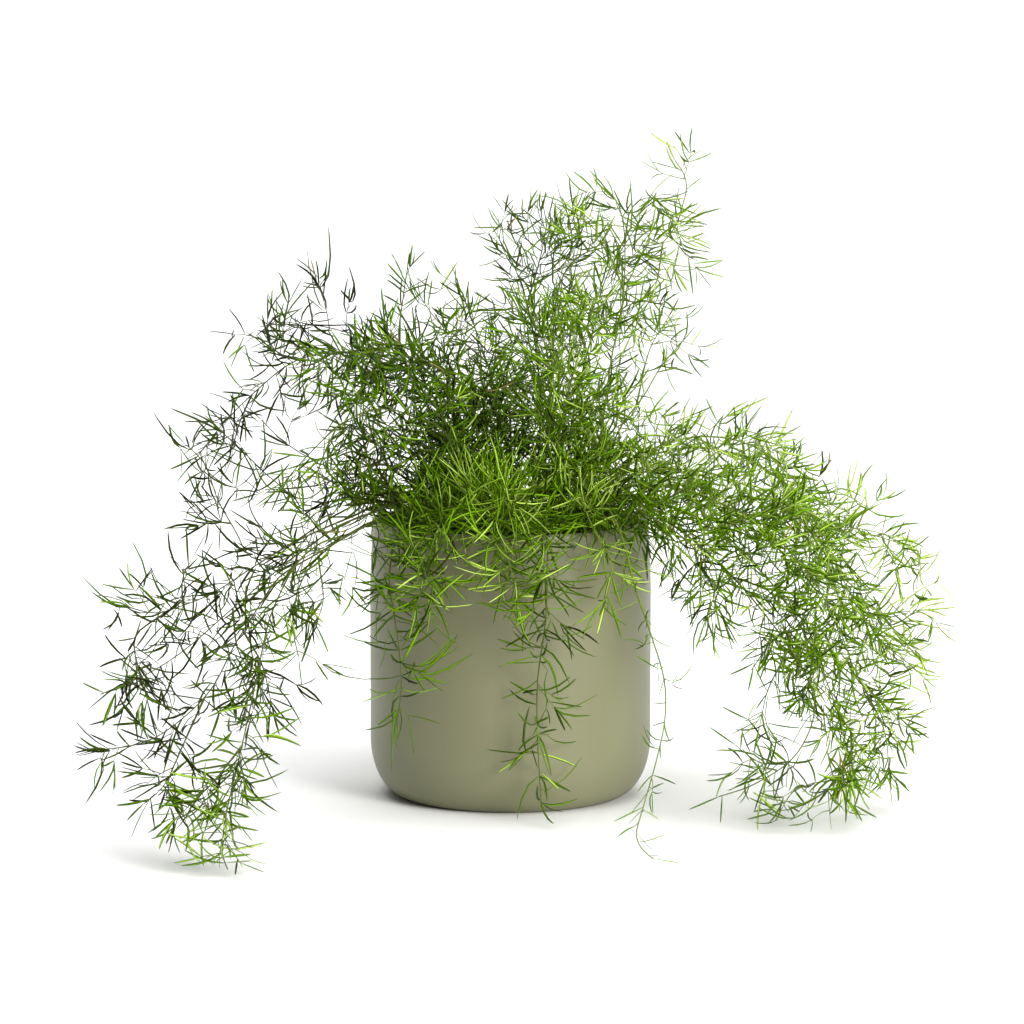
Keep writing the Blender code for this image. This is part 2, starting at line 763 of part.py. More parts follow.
def make_soil(roots, material):
    """The soil, with a plain upright hole for each stem."""
    slope = (POT_RADIUS - POT_LIP_RADIUS) / (POT_HEIGHT - POT_STRAIGHT_TOP)
    edge = POT_RADIUS - POT_WALL - GAP - 0.4 - slope * (SOIL_TOP - POT_STRAIGHT_TOP)
    wall = inner_profile(GAP + 0.2)
    profile = [(0, POT_FLOOR + GAP), *wall, (edge, SOIL_TOP), (edge * 0.6, soil_height(edge * 0.6, 0))]
    soil = lathe("soil", [*profile, (0, SOIL_TOP + SOIL_DOME)], SOIL_SIDES, material)
    cutters = bpy.data.collections.new("stem_holes")
    bpy.context.scene.collection.children.link(cutters)
    for x, y in roots:
        low = soil_height(x, y) - ROOT_DEPTH - GAP
        middle = np.array([(x, y, low), (x, y, SOIL_TOP + 12)])
        hole = new_object("stem_hole", *tube(Run(0, middle, HOLE_RADIUS, 6)), material, cutters)
        hole.hide_render = True
        hole.display_type = "WIRE"
    cut = soil.modifiers.new("stem_holes", "BOOLEAN")
    cut.operation = "DIFFERENCE"
    cut.operand_type = "COLLECTION"
    cut.collection = cutters
    return soil


def clear_scene():
    for obj in list(bpy.data.objects):
        bpy.data.objects.remove(obj)


def main():
    clear_scene()
    glaze = new_material("pot_glaze", (0.27, 0.26, 0.17), 0.5)
    earth = new_material("soil_earth", (0.02, 0.014, 0.009), 0.95)
    green = new_material("foliage_green", (0.09, 0.24, 0.02), 0.45)
    roots = choose_roots(STEMS)
    make_pot(glaze)
    make_soil(roots, earth)

    runs = lay_out_runs(STEMS, roots)
    for _ in range(3):
        bend_apart(runs)
        join_branches(runs)
    thicket = Thicket()
    for run in runs:
        run.points = straightened(run.points)
        for start, end in zip(run.points, run.points[1:]):
            thicket.add(start, end, run.radius, run.owner)
    for run in runs:
        if not run.is_branch:
            x, y = roots[run.owner]
            foot = (x, y, soil_height(x, y) - ROOT_DEPTH)
            run.points = np.vstack([foot, run.points])

    rng = np.random.default_rng(SEED)
    twigs = [grow_twigs(STEMS[run.owner], run, rng, thicket) for run in runs]
    for run in [*runs, *(twig for own in twigs for twig in own)]:
        end_in_needle(run, rng, thicket)
    needles = [[] for _ in STEMS]
    for run, own in zip(runs, twigs):
        bare = 4.0 if run.is_branch else max(STEMS[run.owner].bare, run.length() - LEAFY_END)
        needles[run.owner] += grow_needles(run, bare, NEEDLE_GAP * 1.2, 0, rng, thicket)
        for first, twig in enumerate(own):
            needles[run.owner] += grow_needles(twig, 3.0, NEEDLE_GAP, first, rng, thicket)
    for owner, stem in enumerate(STEMS):
        trunk, *branches = [run for run in runs if run.owner == owner]
        shoots = [twig for run, own in zip(runs, twigs) if run.owner == owner for twig in own]
        make_stem(stem.name, trunk, [*branches, *shoots], needles[owner], green)


if __name__ == "__main__":
    main()
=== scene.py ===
"""The looks of an asparagus fern in a plain round pot: glaze, soil, stems and every needle.

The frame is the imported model's: metres, +Z up, the origin in the middle of the pot's base and the
front towards -Y. Stem routes and plant sizes are in millimetres, scaled when a mesh is made.
"""

import logging
import math
from dataclasses import dataclass, field
from enum import Enum

import bpy
import numpy as np
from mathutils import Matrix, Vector
from numpy.typing import NDArray


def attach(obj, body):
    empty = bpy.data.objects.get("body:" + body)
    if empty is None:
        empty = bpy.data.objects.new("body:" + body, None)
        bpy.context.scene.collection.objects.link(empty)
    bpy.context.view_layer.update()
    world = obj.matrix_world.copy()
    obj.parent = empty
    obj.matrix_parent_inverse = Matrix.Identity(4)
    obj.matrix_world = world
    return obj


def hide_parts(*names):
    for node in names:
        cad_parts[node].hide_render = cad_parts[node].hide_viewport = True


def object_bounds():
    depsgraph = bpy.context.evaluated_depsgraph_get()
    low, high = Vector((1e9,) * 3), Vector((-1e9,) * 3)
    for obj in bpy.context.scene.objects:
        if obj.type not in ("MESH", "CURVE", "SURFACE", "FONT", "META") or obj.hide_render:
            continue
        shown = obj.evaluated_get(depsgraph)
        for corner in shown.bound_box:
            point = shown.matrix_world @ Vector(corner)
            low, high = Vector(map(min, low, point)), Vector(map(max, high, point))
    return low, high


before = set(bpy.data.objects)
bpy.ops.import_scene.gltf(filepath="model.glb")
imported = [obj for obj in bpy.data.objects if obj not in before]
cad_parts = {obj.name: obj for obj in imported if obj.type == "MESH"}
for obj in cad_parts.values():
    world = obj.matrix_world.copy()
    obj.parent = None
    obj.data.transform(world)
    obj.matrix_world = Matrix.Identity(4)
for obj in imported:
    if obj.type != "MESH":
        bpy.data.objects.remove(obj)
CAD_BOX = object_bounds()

Array = NDArray[np.float64]
Whole = NDArray[np.int_]
Truth = NDArray[np.bool_]
Point = tuple[float, float, float]
Colour = tuple[float, float, float]
Route = list[Point]
Seat = tuple[Array, Array, Array]

LOG = logging.getLogger("fern")
MM = 0.001
GOLDEN_ANGLE = math.radians(137.508)


class Habit(Enum):
    """How a leafy stem carries its twigs: the share of their length that they sink by."""

    UPRIGHT = -0.10
    LEVEL = 0.0
    ARCHING = 0.15


class AgeAndShade(Enum):
    """Sets a stem's colour by its age and by painted shade: from 0 dark, old and painted shaded to
    1 pale, new and painted lit.
    """

    OLD = 0.09
    GROWN = 0.38
    YOUNG = 0.58
    FRESH = 0.72


@dataclass(frozen=True)
class Spread:
    """A range of values: low at 0, and low + span at 1.

    Attributes:
        low: The value at 0.
        span: How much larger it is at 1.
    """

    low: float
    span: float

    def at(self, draw: Array | float) -> Array | float:
        """The value at a draw, or at some share of a way: low + span draw."""
        return self.low + self.span * draw


# Vectors, curves and meshes

# An axis counts as upright where the sine of its angle to Z is under this.
UPRIGHT_SINE = 0.1
# Samples of each stretch of a curve, before they are set evenly apart.
STRETCH_SAMPLES = 12


def unit(vectors: Array) -> Array:
    """Vectors, along the last axis, at length one."""
    return vectors / np.maximum(np.linalg.norm(vectors, axis=-1, keepdims=True), 1e-12)


def level_across(axes: Array) -> Array:
    """A level direction square to each axis, or square to Y too where the axis is upright.

    Args:
        axes: Unit vectors, (n, 3).

    Returns:
        Unit vectors, (n, 3).
    """
    across = np.cross(axes, (0.0, 0.0, 1.0))
    upright = np.linalg.norm(across, axis=-1, keepdims=True) < UPRIGHT_SINE
    return unit(np.where(upright, np.cross(axes, (0.0, 1.0, 0.0)), across))


def turned(out: Array, axes: Array, angles: Array | float) -> Array:
    """Unit vectors square to their axes, turned round them: cos(a) out + sin(a) (axis x out)."""
    angles = np.asarray(angles)[..., None]
    return np.cos(angles) * out + np.sin(angles) * np.cross(axes, out)


def leaned(axes: Array, out: Array, angles: Array | float) -> Array:
    """Unit vectors between their axes and others square to these: cos(a) axis + sin(a) out."""
    angles = np.asarray(angles)[..., None]
    return np.cos(angles) * axes + np.sin(angles) * out


def arc_lengths(points: Array) -> Array:
    """The distance along a chain of points, (n, 3), at each of them, (n,), from zero."""
    return np.concatenate([[0.0], np.cumsum(np.linalg.norm(np.diff(points, axis=0), axis=1))])


def read_rows(values: Array, along: Array, places: Array) -> Array:
    """Rows of values, (n, 3), known at places along, (n,), and read at others, (m,)."""
    return np.stack([np.interp(places, along, column) for column in values.T], axis=1)


def resample(points: Array, step: float) -> Array:
    """Points about a step apart along a chain of points, (n, 3), with the same ends."""
    along = arc_lengths(points)
    return read_rows(points, along, np.linspace(0, along[-1], max(2, round(along[-1] / step) + 1)))


def smooth_curve(points: Array, step: float) -> Array:
    """A Catmull-Rom curve: each stretch is a cubic whose end slopes join its neighbours.

    Args:
        points: The points that the curve passes through, (n, 3).
        step: The distance between its samples.

    Returns:
        Samples of the curve, (m, 3).
    """
    knots = np.vstack([2 * points[0] - points[1], points, 2 * points[-1] - points[-2]])
    a, b, c, d = (knots[i : len(knots) - 3 + i, None, :] for i in range(4))
    t = np.linspace(0, 1, STRETCH_SAMPLES, endpoint=False)[None, :, None]
    square = 2 * a - 5 * b + 4 * c - d
    cube = 3 * b - a - 3 * c + d
    fine = b + 0.5 * ((c - a) * t + square * t**2 + cube * t**3)
    return resample(np.vstack([fine.reshape(-1, 3), points[-1:]]), step)


def read_curve(points: Array, distances: Array) -> tuple[Array, Array]:
    """The points of a chain at some distances along it, and its directions there.

    Args:
        points: The chain, (n, 3).
        distances: Distances along it, (m,).

    Returns:
        The places and the unit directions, both (m, 3).
    """
    along = arc_lengths(points)
    slopes = unit(np.gradient(points, axis=0))
    return read_rows(points, along, distances), unit(read_rows(slopes, along, distances))


def lathe_rings(profile: Array, columns: int) -> Array:
    """A profile turned round Z: (r cos a, r sin a, z) at even angles a.

    Args:
        profile: The radius and height of each ring, (n, 2).
        columns: Vertices round each ring.

    Returns:
        The rings, (n, columns, 3).
    """
    angles = np.arange(columns) * math.tau / columns
    radius, height = profile[:, :1], np.repeat(profile[:, 1:], columns, axis=1)
    return np.stack([radius * np.cos(angles), radius * np.sin(angles), height], -1)


def closed_faces(rows: int, columns: int) -> Whole:
    """Triangles of a closed body: rings of vertices, then a pole for its first and its last ring.

    Args:
        rows: How many rings it has.
        columns: Vertices round each ring.

    Returns:
        Triangles, (2 rows columns, 3), that face outwards where columns run anticlockwise seen from
        the last ring.
    """
    row, column = np.meshgrid(np.arange(rows - 1), np.arange(columns), indexing="ij")
    a, b = row * columns + column, row * columns + (column + 1) % columns
    c, d = b + columns, a + columns
    ring, last = np.arange(columns), (rows - 1) * columns
    after = (ring + 1) % columns
    pole = np.full(columns, rows * columns)
    sheets = (a, b, c), (a, c, d), (pole, after, ring), (pole + 1, last + ring, last + after)
    return np.concatenate([np.stack(sheet, -1).reshape(-1, 3) for sheet in sheets])


def repeat_faces(faces: Whole, count: int, size: int) -> Whole:
    """One shape's triangles, (m, 3), for each of many equal shapes of that size in vertices."""
    return (faces[None] + (np.arange(count) * size)[:, None, None]).reshape(-1, 3)


def new_object(name: str, data: bpy.types.ID) -> bpy.types.Object:
    """Put a mesh, a light or a camera in the scene.

    Args:
        name: The new object's name.
        data: What it shows.

    Returns:
        The object, at the origin.
    """
    thing = bpy.data.objects.new(name, data)
    bpy.context.scene.collection.objects.link(thing)
    return thing


@dataclass
class Surface:
    """Triangles under construction: points in millimetres, faces, a finish index and shades.

    Attributes:
        points: Vertices, (n, 3).
        faces: Vertex indices of each triangle, (m, 3).
        finish: The material slot of each triangle, (m,).
        tone: The tone of age and painted shade at each vertex, (n,).
        along: How far along its own blade or stem each vertex is, (n,).
    """

    points: Array = field(default_factory=lambda: np.zeros((0, 3)))
    faces: Whole = field(default_factory=lambda: np.zeros((0, 3), np.int32))
    finish: Whole = field(default_factory=lambda: np.zeros(0, np.int32))
    tone: Array = field(default_factory=lambda: np.zeros(0))
    along: Array = field(default_factory=lambda: np.zeros(0))

    def add(
        self,
        points: Array,
        faces: Whole,
        finish: int = 0,
        tone: Array | float = 0.0,
        along: Array | float = 0.0,
    ) -> "Surface":
        """Add vertices and triangles to what is here.

        Args:
            points: New vertices, (n, 3).
            faces: Triangles that index the new vertices, (m, 3).
            finish: Their material slot.
            tone: The new vertices' tones of age and painted shade, (n,) or one for all.
            along: Their places along their own blade or stem, (n,) or one for all.

        Returns:
            This surface.
        """
        self.faces = np.vstack([self.faces, faces + len(self.points)]).astype(np.int32)
        self.points = np.vstack([self.points, points])
        self.finish = np.concatenate([self.finish, np.full(len(faces), finish, np.int32)])
        self.tone = np.concatenate([self.tone, np.broadcast_to(tone, len(points))])
        self.along = np.concatenate([self.along, np.broadcast_to(along, len(points))])
        return self

    def make(
        self, name: str, materials: list[bpy.types.Material], smooth: bool = True
    ) -> bpy.types.Object:
        """Put the triangles in a new object at the origin.

        Args:
            name: The object's name.
            materials: Its material slots, in order.
            smooth: Whether its faces are shaded smooth.

        Returns:
            The object, riding on the root.
        """
        mesh = bpy.data.meshes.new(name)
        mesh.vertices.add(len(self.points))
        mesh.vertices.foreach_set("co", (self.points * MM).ravel())
        mesh.loops.add(self.faces.size)
        mesh.loops.foreach_set("vertex_index", self.faces.ravel())
        mesh.polygons.add(len(self.faces))
        starts = np.arange(0, self.faces.size, 3, dtype=np.int32)
        mesh.polygons.foreach_set("loop_start", starts)
        mesh.polygons.foreach_set("material_index", self.finish)
        mesh.polygons.foreach_set("use_smooth", np.full(len(self.faces), smooth))
        for label, values in (("tone", self.tone), ("along", self.along)):
            layer = mesh.attributes.new(label, "FLOAT", "POINT")
            layer.data.foreach_set("value", values.astype(np.float32))
        mesh.update(calc_edges=True)
        for material in materials:
            mesh.materials.append(material)
        piece = new_object(name, mesh)
        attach(piece, "root")
        LOG.info("%s: %d triangles", name, len(self.faces))
        return piece


# Finishes


class Shader:
    """A small helper that places nodes in one tree, left to right, and links them."""

    def __init__(self, tree: bpy.types.NodeTree) -> None:
        """Start with an empty tree."""
        self.tree = tree
        tree.nodes.clear()

    def add(
        self, kind: str, inputs: dict[str | int, object] | None = None, **settings: object
    ) -> bpy.types.Node:
        """Place a node.

        Args:
            kind: The node's type name.
            inputs: Its sockets by name or index: an output to link, or a value to set.
            **settings: Its own properties.

        Returns:
            The node.
        """
        node = self.tree.nodes.new(kind)
        node.location = (220 * len(self.tree.nodes), 0)
        for label, setting in settings.items():
            setattr(node, label, setting)
        for socket, value in (inputs or {}).items():
            if isinstance(value, bpy.types.NodeSocket):
                self.tree.links.new(value, node.inputs[socket])
            else:
                node.inputs[socket].default_value = value
        return node

    def ramp(
        self, factor: bpy.types.NodeSocket, stops: list[tuple[float, Colour]]
    ) -> bpy.types.NodeSocket:
        """Place a colour ramp.

        Args:
            factor: What it reads.
            stops: Places and colours, in order.

        Returns:
            Its colour output.
        """
        node = self.add("ShaderNodeValToRGB", {"Fac": factor})
        elements = node.color_ramp.elements
        for index, (stop, colour) in enumerate(stops):
            element = elements[index] if index < 2 else elements.new(stop)
            element.position = stop
            element.color = (*colour, 1.0)
        return node.outputs["Color"]

    def maths(self, operation: str, first: object, second: object) -> bpy.types.NodeSocket:
        """The output of a new maths node, each of whose inputs is linked or set."""
        return self.add("ShaderNodeMath", {0: first, 1: second}, operation=operation).outputs[0]

    def mottle(self, broad: float, fine: float, strength: float) -> bpy.types.Node:
        """Place the shared mottle, read at the object's own coordinates.

        Args:
            broad: The larger pattern's scale, in repeats a metre.
            fine: The smaller pattern's scale.
            strength: How far its Shade moves from 1.

        Returns:
            The group's node.
        """
        here = self.add("ShaderNodeTexCoord").outputs["Object"]
        inputs = {"Vector": here, "Broad scale": broad, "Fine scale": fine, "Strength": strength}
        return self.add("ShaderNodeGroup", inputs, node_tree=mottle_group())


def mottle_group() -> bpy.types.NodeTree:
    """The shared effect of slight unevenness, as the sum of two sizes of noise.

    Returns:
        A group that takes Vector, Broad scale, Fine scale and Strength, and gives Shade, a value
        round 1, and Height, the finer noise.
    """
    tree = bpy.data.node_groups.get("mottle")
    if tree:
        return tree
    tree = bpy.data.node_groups.new("mottle", "ShaderNodeTree")
    tree.interface.new_socket("Vector", in_out="INPUT", socket_type="NodeSocketVector")
    for label in ("Broad scale", "Fine scale", "Strength"):
        tree.interface.new_socket(label, in_out="INPUT", socket_type="NodeSocketFloat")
    for label in ("Shade", "Height"):
        tree.interface.new_socket(label, in_out="OUTPUT", socket_type="NodeSocketFloat")
    shader = Shader(tree)
    given = shader.add("NodeGroupInput").outputs
    broad, fine = (
        shader.add(
            "ShaderNodeTexNoise",
            {"Vector": given["Vector"], "Scale": given[scale], "Detail": detail},
        ).outputs[0]
        for scale, detail in (("Broad scale", 3.0), ("Fine scale", 2.0))
    )
    centred = shader.maths("SUBTRACT", shader.maths("ADD", broad, fine), 1.0)
    shade = shader.maths("ADD", shader.maths("MULTIPLY", centred, given["Strength"]), 1.0)
    shader.add("NodeGroupOutput", {"Shade": shade, "Height": fine})
    return tree


@dataclass(frozen=True)
class Finish:
    """What every finish has, and how it becomes a material.

    Attributes:
        name: The material's name.
        roughness: How rough it is on the whole.
        shine: How strongly the surface reflects.
        broad: The scale of its mottle's larger pattern, in repeats a metre.
        fine: The smaller pattern's scale.
        strength: How far the mottle moves its colour and its roughness.
    """

    name: str
    roughness: float
    shine: float
    broad: float
    fine: float
    strength: float

    def skin(self, shader: Shader, mottle: bpy.types.Node) -> dict[str, object]:
        """Place a finish's own nodes, and give what its surface reads, by socket."""
        raise NotImplementedError

    def make(self) -> bpy.types.Material:
        """Build one Principled surface, its roughness mottled like its colour.

        Returns:
            The material.
        """
        material = bpy.data.materials.new(self.name)
        material.use_nodes = True
        shader = Shader(material.node_tree)
        mottle = shader.mottle(self.broad, self.fine, self.strength)
        inputs = self.skin(shader, mottle)
        inputs["Roughness"] = shader.maths("MULTIPLY", mottle.outputs["Shade"], self.roughness)
        inputs["Specular IOR Level"] = self.shine
        body = shader.add("ShaderNodeBsdfPrincipled", inputs)
        shader.add("ShaderNodeOutputMaterial", {"Surface": body.outputs[0]})
        return material


@dataclass(frozen=True)
class MottledFinish(Finish):
    """A matt or satin surface whose colour and roughness vary a little from place to place.

    Attributes:
        dark: The colour in the darker patches.
        light: The colour in the lighter ones.
        relief: How deep the fine pattern is, in metres.
        bump: How strongly that tilts the surface.
        patches: The values of the mottle, less a half, at which it is all dark and all light.
    """

    dark: Colour
    light: Colour
    relief: float
    bump: float = 0.6
    patches: tuple[float, float] = (0.25, 0.75)

    def skin(self, shader: Shader, mottle: bpy.types.Node) -> dict[str, object]:
        """A ramp from dark to light over the mottle, and a bump that follows its finer noise.

        Args:
            shader: Where they go.
            mottle: The finish's mottle.

        Returns:
            What its surface reads, by socket.
        """
        shade = shader.maths("SUBTRACT", mottle.outputs["Shade"], 0.5)
        height = mottle.outputs["Height"]
        relief = {"Height": height, "Distance": self.relief, "Strength": self.bump}
        bump = shader.add("ShaderNodeBump", relief).outputs["Normal"]
        colour = shader.ramp(shade, list(zip(self.patches, (self.dark, self.light))))
        return {"Base Color": colour, "Normal": bump}


@dataclass(frozen=True)
class LivingFinish(Finish):
    """Green tissue, coloured by its age and by painted shade and light, and paler towards a blade's
    foot or a stem's tip.

    Attributes:
        old: The colour of the darkest tissue.
        grown: The colour of grown tissue.
        young: The colour of young tissue.
        fresh: The colour of the newest.
        pale: The colour that a blade's foot leans towards.
        dry: The colour of a dead needle.
        foot: The share of its length over which it is paler.
        edge: How strongly shade is painted at its edges, where the surface turns away from the eye.
        middle: The share of that by which light is painted on its middle, making it lighter.
        darkest: The least that the painted edge shade darkens it to.
        tones: The tones of its five ages.
    """

    old: Colour
    grown: Colour
    young: Colour
    fresh: Colour
    pale: Colour
    dry: Colour = (0.30, 0.23, 0.07)
    foot: float = 0.3
    edge: float = 0.0
    middle: float = 0.22
    darkest: float = 0.15
    tones: tuple[float, ...] = (0.0, 0.4, 0.7, 0.97, 1.0)

    def skin(self, shader: Shader, mottle: bpy.types.Node) -> dict[str, object]:
        """A ramp over the tone, paler at the foot, then mottled, with painted shade at the edges
        and painted light in the middle.

        Args:
            shader: Where they go.
            mottle: The finish's mottle.

        Returns:
            What its surface reads, by socket.
        """
        tone, along = (
            shader.add("ShaderNodeAttribute", attribute_name=label).outputs["Fac"]
            for label in ("tone", "along")
        )
        ages = [self.old, self.grown, self.young, self.fresh, self.dry]
        colour = shader.ramp(tone, list(zip(self.tones, ages)))
        paler = shader.ramp(along, [(0.0, (self.foot,) * 3), (self.foot, (0.0, 0.0, 0.0))])
        # A mix of colours reads its factor at 0 and its colours at 6 and 7, and gives them at 2.
        inputs = {0: paler, 6: colour, 7: (*self.pale, 1.0)}
        mixed = shader.add("ShaderNodeMix", inputs, data_type="RGBA").outputs[2]
        # Painted shade at the edges, where the surface turns away from the eye, and painted light
        # in the middle.
        facing = shader.add("ShaderNodeLayerWeight", {"Blend": 0.5}).outputs["Facing"]
        painted_edge_shade = shader.maths("MULTIPLY", facing, self.edge)
        edge = shader.maths("SUBTRACT", 1.0 + self.middle * self.edge, painted_edge_shade)
        edge = shader.maths("MAXIMUM", edge, self.darkest)
        shade = shader.maths("MULTIPLY", mottle.outputs["Shade"], edge)
        inputs = {0: mixed, "Scale": shade}
        shaded = shader.add("ShaderNodeVectorMath", inputs, operation="SCALE").outputs[0]
        return {"Base Color": shaded}


GLAZE = MottledFinish(
    name="sage_glaze", roughness=0.42, shine=0.38, dark=(0.171, 0.173, 0.094),
    light=(0.207, 0.210, 0.119), broad=14.0, fine=2600.0, relief=0.00004, strength=0.5,
)
EARTH = MottledFinish(
    name="potting_soil", roughness=0.95, shine=0.5, dark=(0.012, 0.008, 0.005),
    light=(0.06, 0.04, 0.025), broad=160.0, fine=900.0, relief=0.0006, strength=1.2,
)
CRUMB = MottledFinish(
    name="soil_crumbs", roughness=0.95, shine=0.5, dark=(0.02, 0.013, 0.008),
    light=(0.10, 0.07, 0.045), broad=220.0, fine=1500.0, relief=0.0003, strength=1.0,
)
PAPER = MottledFinish(
    name="studio_paper", roughness=0.9, shine=0.5, dark=(0.86, 0.86, 0.86),
    light=(0.90, 0.90, 0.90), broad=2.0, fine=60.0, relief=0.0, strength=0.1,
)
# The needles' whitish fresh colour stands partly for new growth and partly for painted glints;
# their edge paints shade at the blades' edges and light in their middles.
NEEDLE = LivingFinish(
    name="needle_green", roughness=0.30, shine=0.035, broad=60.0, fine=1500.0, strength=0.5,
    old=(0.021, 0.027, 0.002), grown=(0.068, 0.156, 0.001), young=(0.150, 0.314, 0.002),
    fresh=(0.440, 0.620, 0.100), pale=(0.120, 0.230, 0.015), edge=1.2,
)
BARK = LivingFinish(
    name="stem_green", roughness=0.5, shine=0.2, broad=60.0, fine=1500.0, strength=0.5,
    old=(0.045, 0.050, 0.010), grown=(0.080, 0.110, 0.012), young=(0.140, 0.210, 0.020),
    fresh=(0.260, 0.360, 0.050), pale=(0.130, 0.120, 0.030),
)


# The pot and the soil


@dataclass
class Pot:
    """The pot: a turned shell with a broad round bottom edge and a soft lip. Sizes in millimetres.

    Attributes:
        height: From the base to the top of the lip.
        radius: Of the straight wall.
        lip_radius: Outside the lip.
        wall: The wall's thickness.
        floor: The floor's thickness.
        corner_in: How far the round bottom edge reaches in.
        corner_up: How far it reaches up.
        straight_foot: Where the wall's even part starts.
        straight_top: Where the wall starts to draw in to the lip.
        middle: The radius of the smallest ring, round the middle of the base and of the floor.
        columns: Vertices round the pot.
    """

    height: float = 148.0
    radius: float = 75.0
    lip_radius: float = 73.8
    wall: float = 4.0
    floor: float = 6.0
    corner_in: float = 18.0
    corner_up: float = 31.0
    straight_foot: float = 45.0
    straight_top: float = 110.0
    middle: float = 0.5
    columns: int = 192

    @staticmethod
    def corner(radius: float, reach: float, base: float, rise: float) -> Array:
        """A quarter ellipse: r = radius - reach (1 - sin t), z = base + rise (1 - cos t)."""
        t = np.linspace(0, math.pi / 2, 16)
        return np.stack([radius - reach * (1 - np.sin(t)), base + rise * (1 - np.cos(t))], 1)

    def profile(self) -> Array:
        """The outline from the middle of the base, round the lip, to the middle of the floor.

        The wall eases in to the lip as half a cosine. The lip is a half circle of the wall's
        thickness. The bowl inside is a little rounder than the bottom edge outside.

        Returns:
            Radius and height, (n, 2).
        """
        half = self.wall / 2
        flat = np.linspace(self.middle, self.radius - self.corner_in - 1.5, 6)
        base = np.stack([flat, np.zeros(6)], 1)
        corner = self.corner(self.radius, self.corner_in, 0.0, self.corner_up)
        levels = np.linspace(self.straight_foot, self.straight_top, 4)
        straight = np.stack([np.full(4, self.radius), levels], 1)
        rise = np.linspace(0, 1, 12)[1:, None]
        ease = 0.5 - 0.5 * np.cos(math.pi * rise)
        lip_foot = self.height - half
        shoulder = np.hstack(
            [
                self.radius - (self.radius - self.lip_radius) * ease,
                self.straight_top + (lip_foot - self.straight_top) * rise,
            ]
        )
        turn = np.linspace(0, math.pi, 10)[1:, None]
        centre = self.lip_radius - half
        lip = np.hstack([centre + half * np.cos(turn), lip_foot + half * np.sin(turn)])
        inside = np.vstack([shoulder[:-1][::-1], straight[::-1]]) - (self.wall, 0.0)
        bowl = self.corner(
            self.radius - self.wall, self.corner_in - 2, self.floor, self.corner_up - 4
        )
        end = [(self.middle, self.floor)]
        return np.vstack([base, corner, straight, shoulder, lip, inside, bowl[::-1], end])

    def build(self, glaze: bpy.types.Material) -> bpy.types.Object:
        """Turn the profile round Z and close its middles.

        Args:
            glaze: The pot's finish.

        Returns:
            The pot.
        """
        profile = self.profile()
        rings = lathe_rings(profile, self.columns).reshape(-1, 3)
        points = np.vstack([rings, (0, 0, 0), (0, 0, self.floor)])
        surface = Surface().add(points, closed_faces(len(profile), self.columns))
        piece = surface.make("glazed_pot", [glaze])
        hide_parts("pot")
        return piece


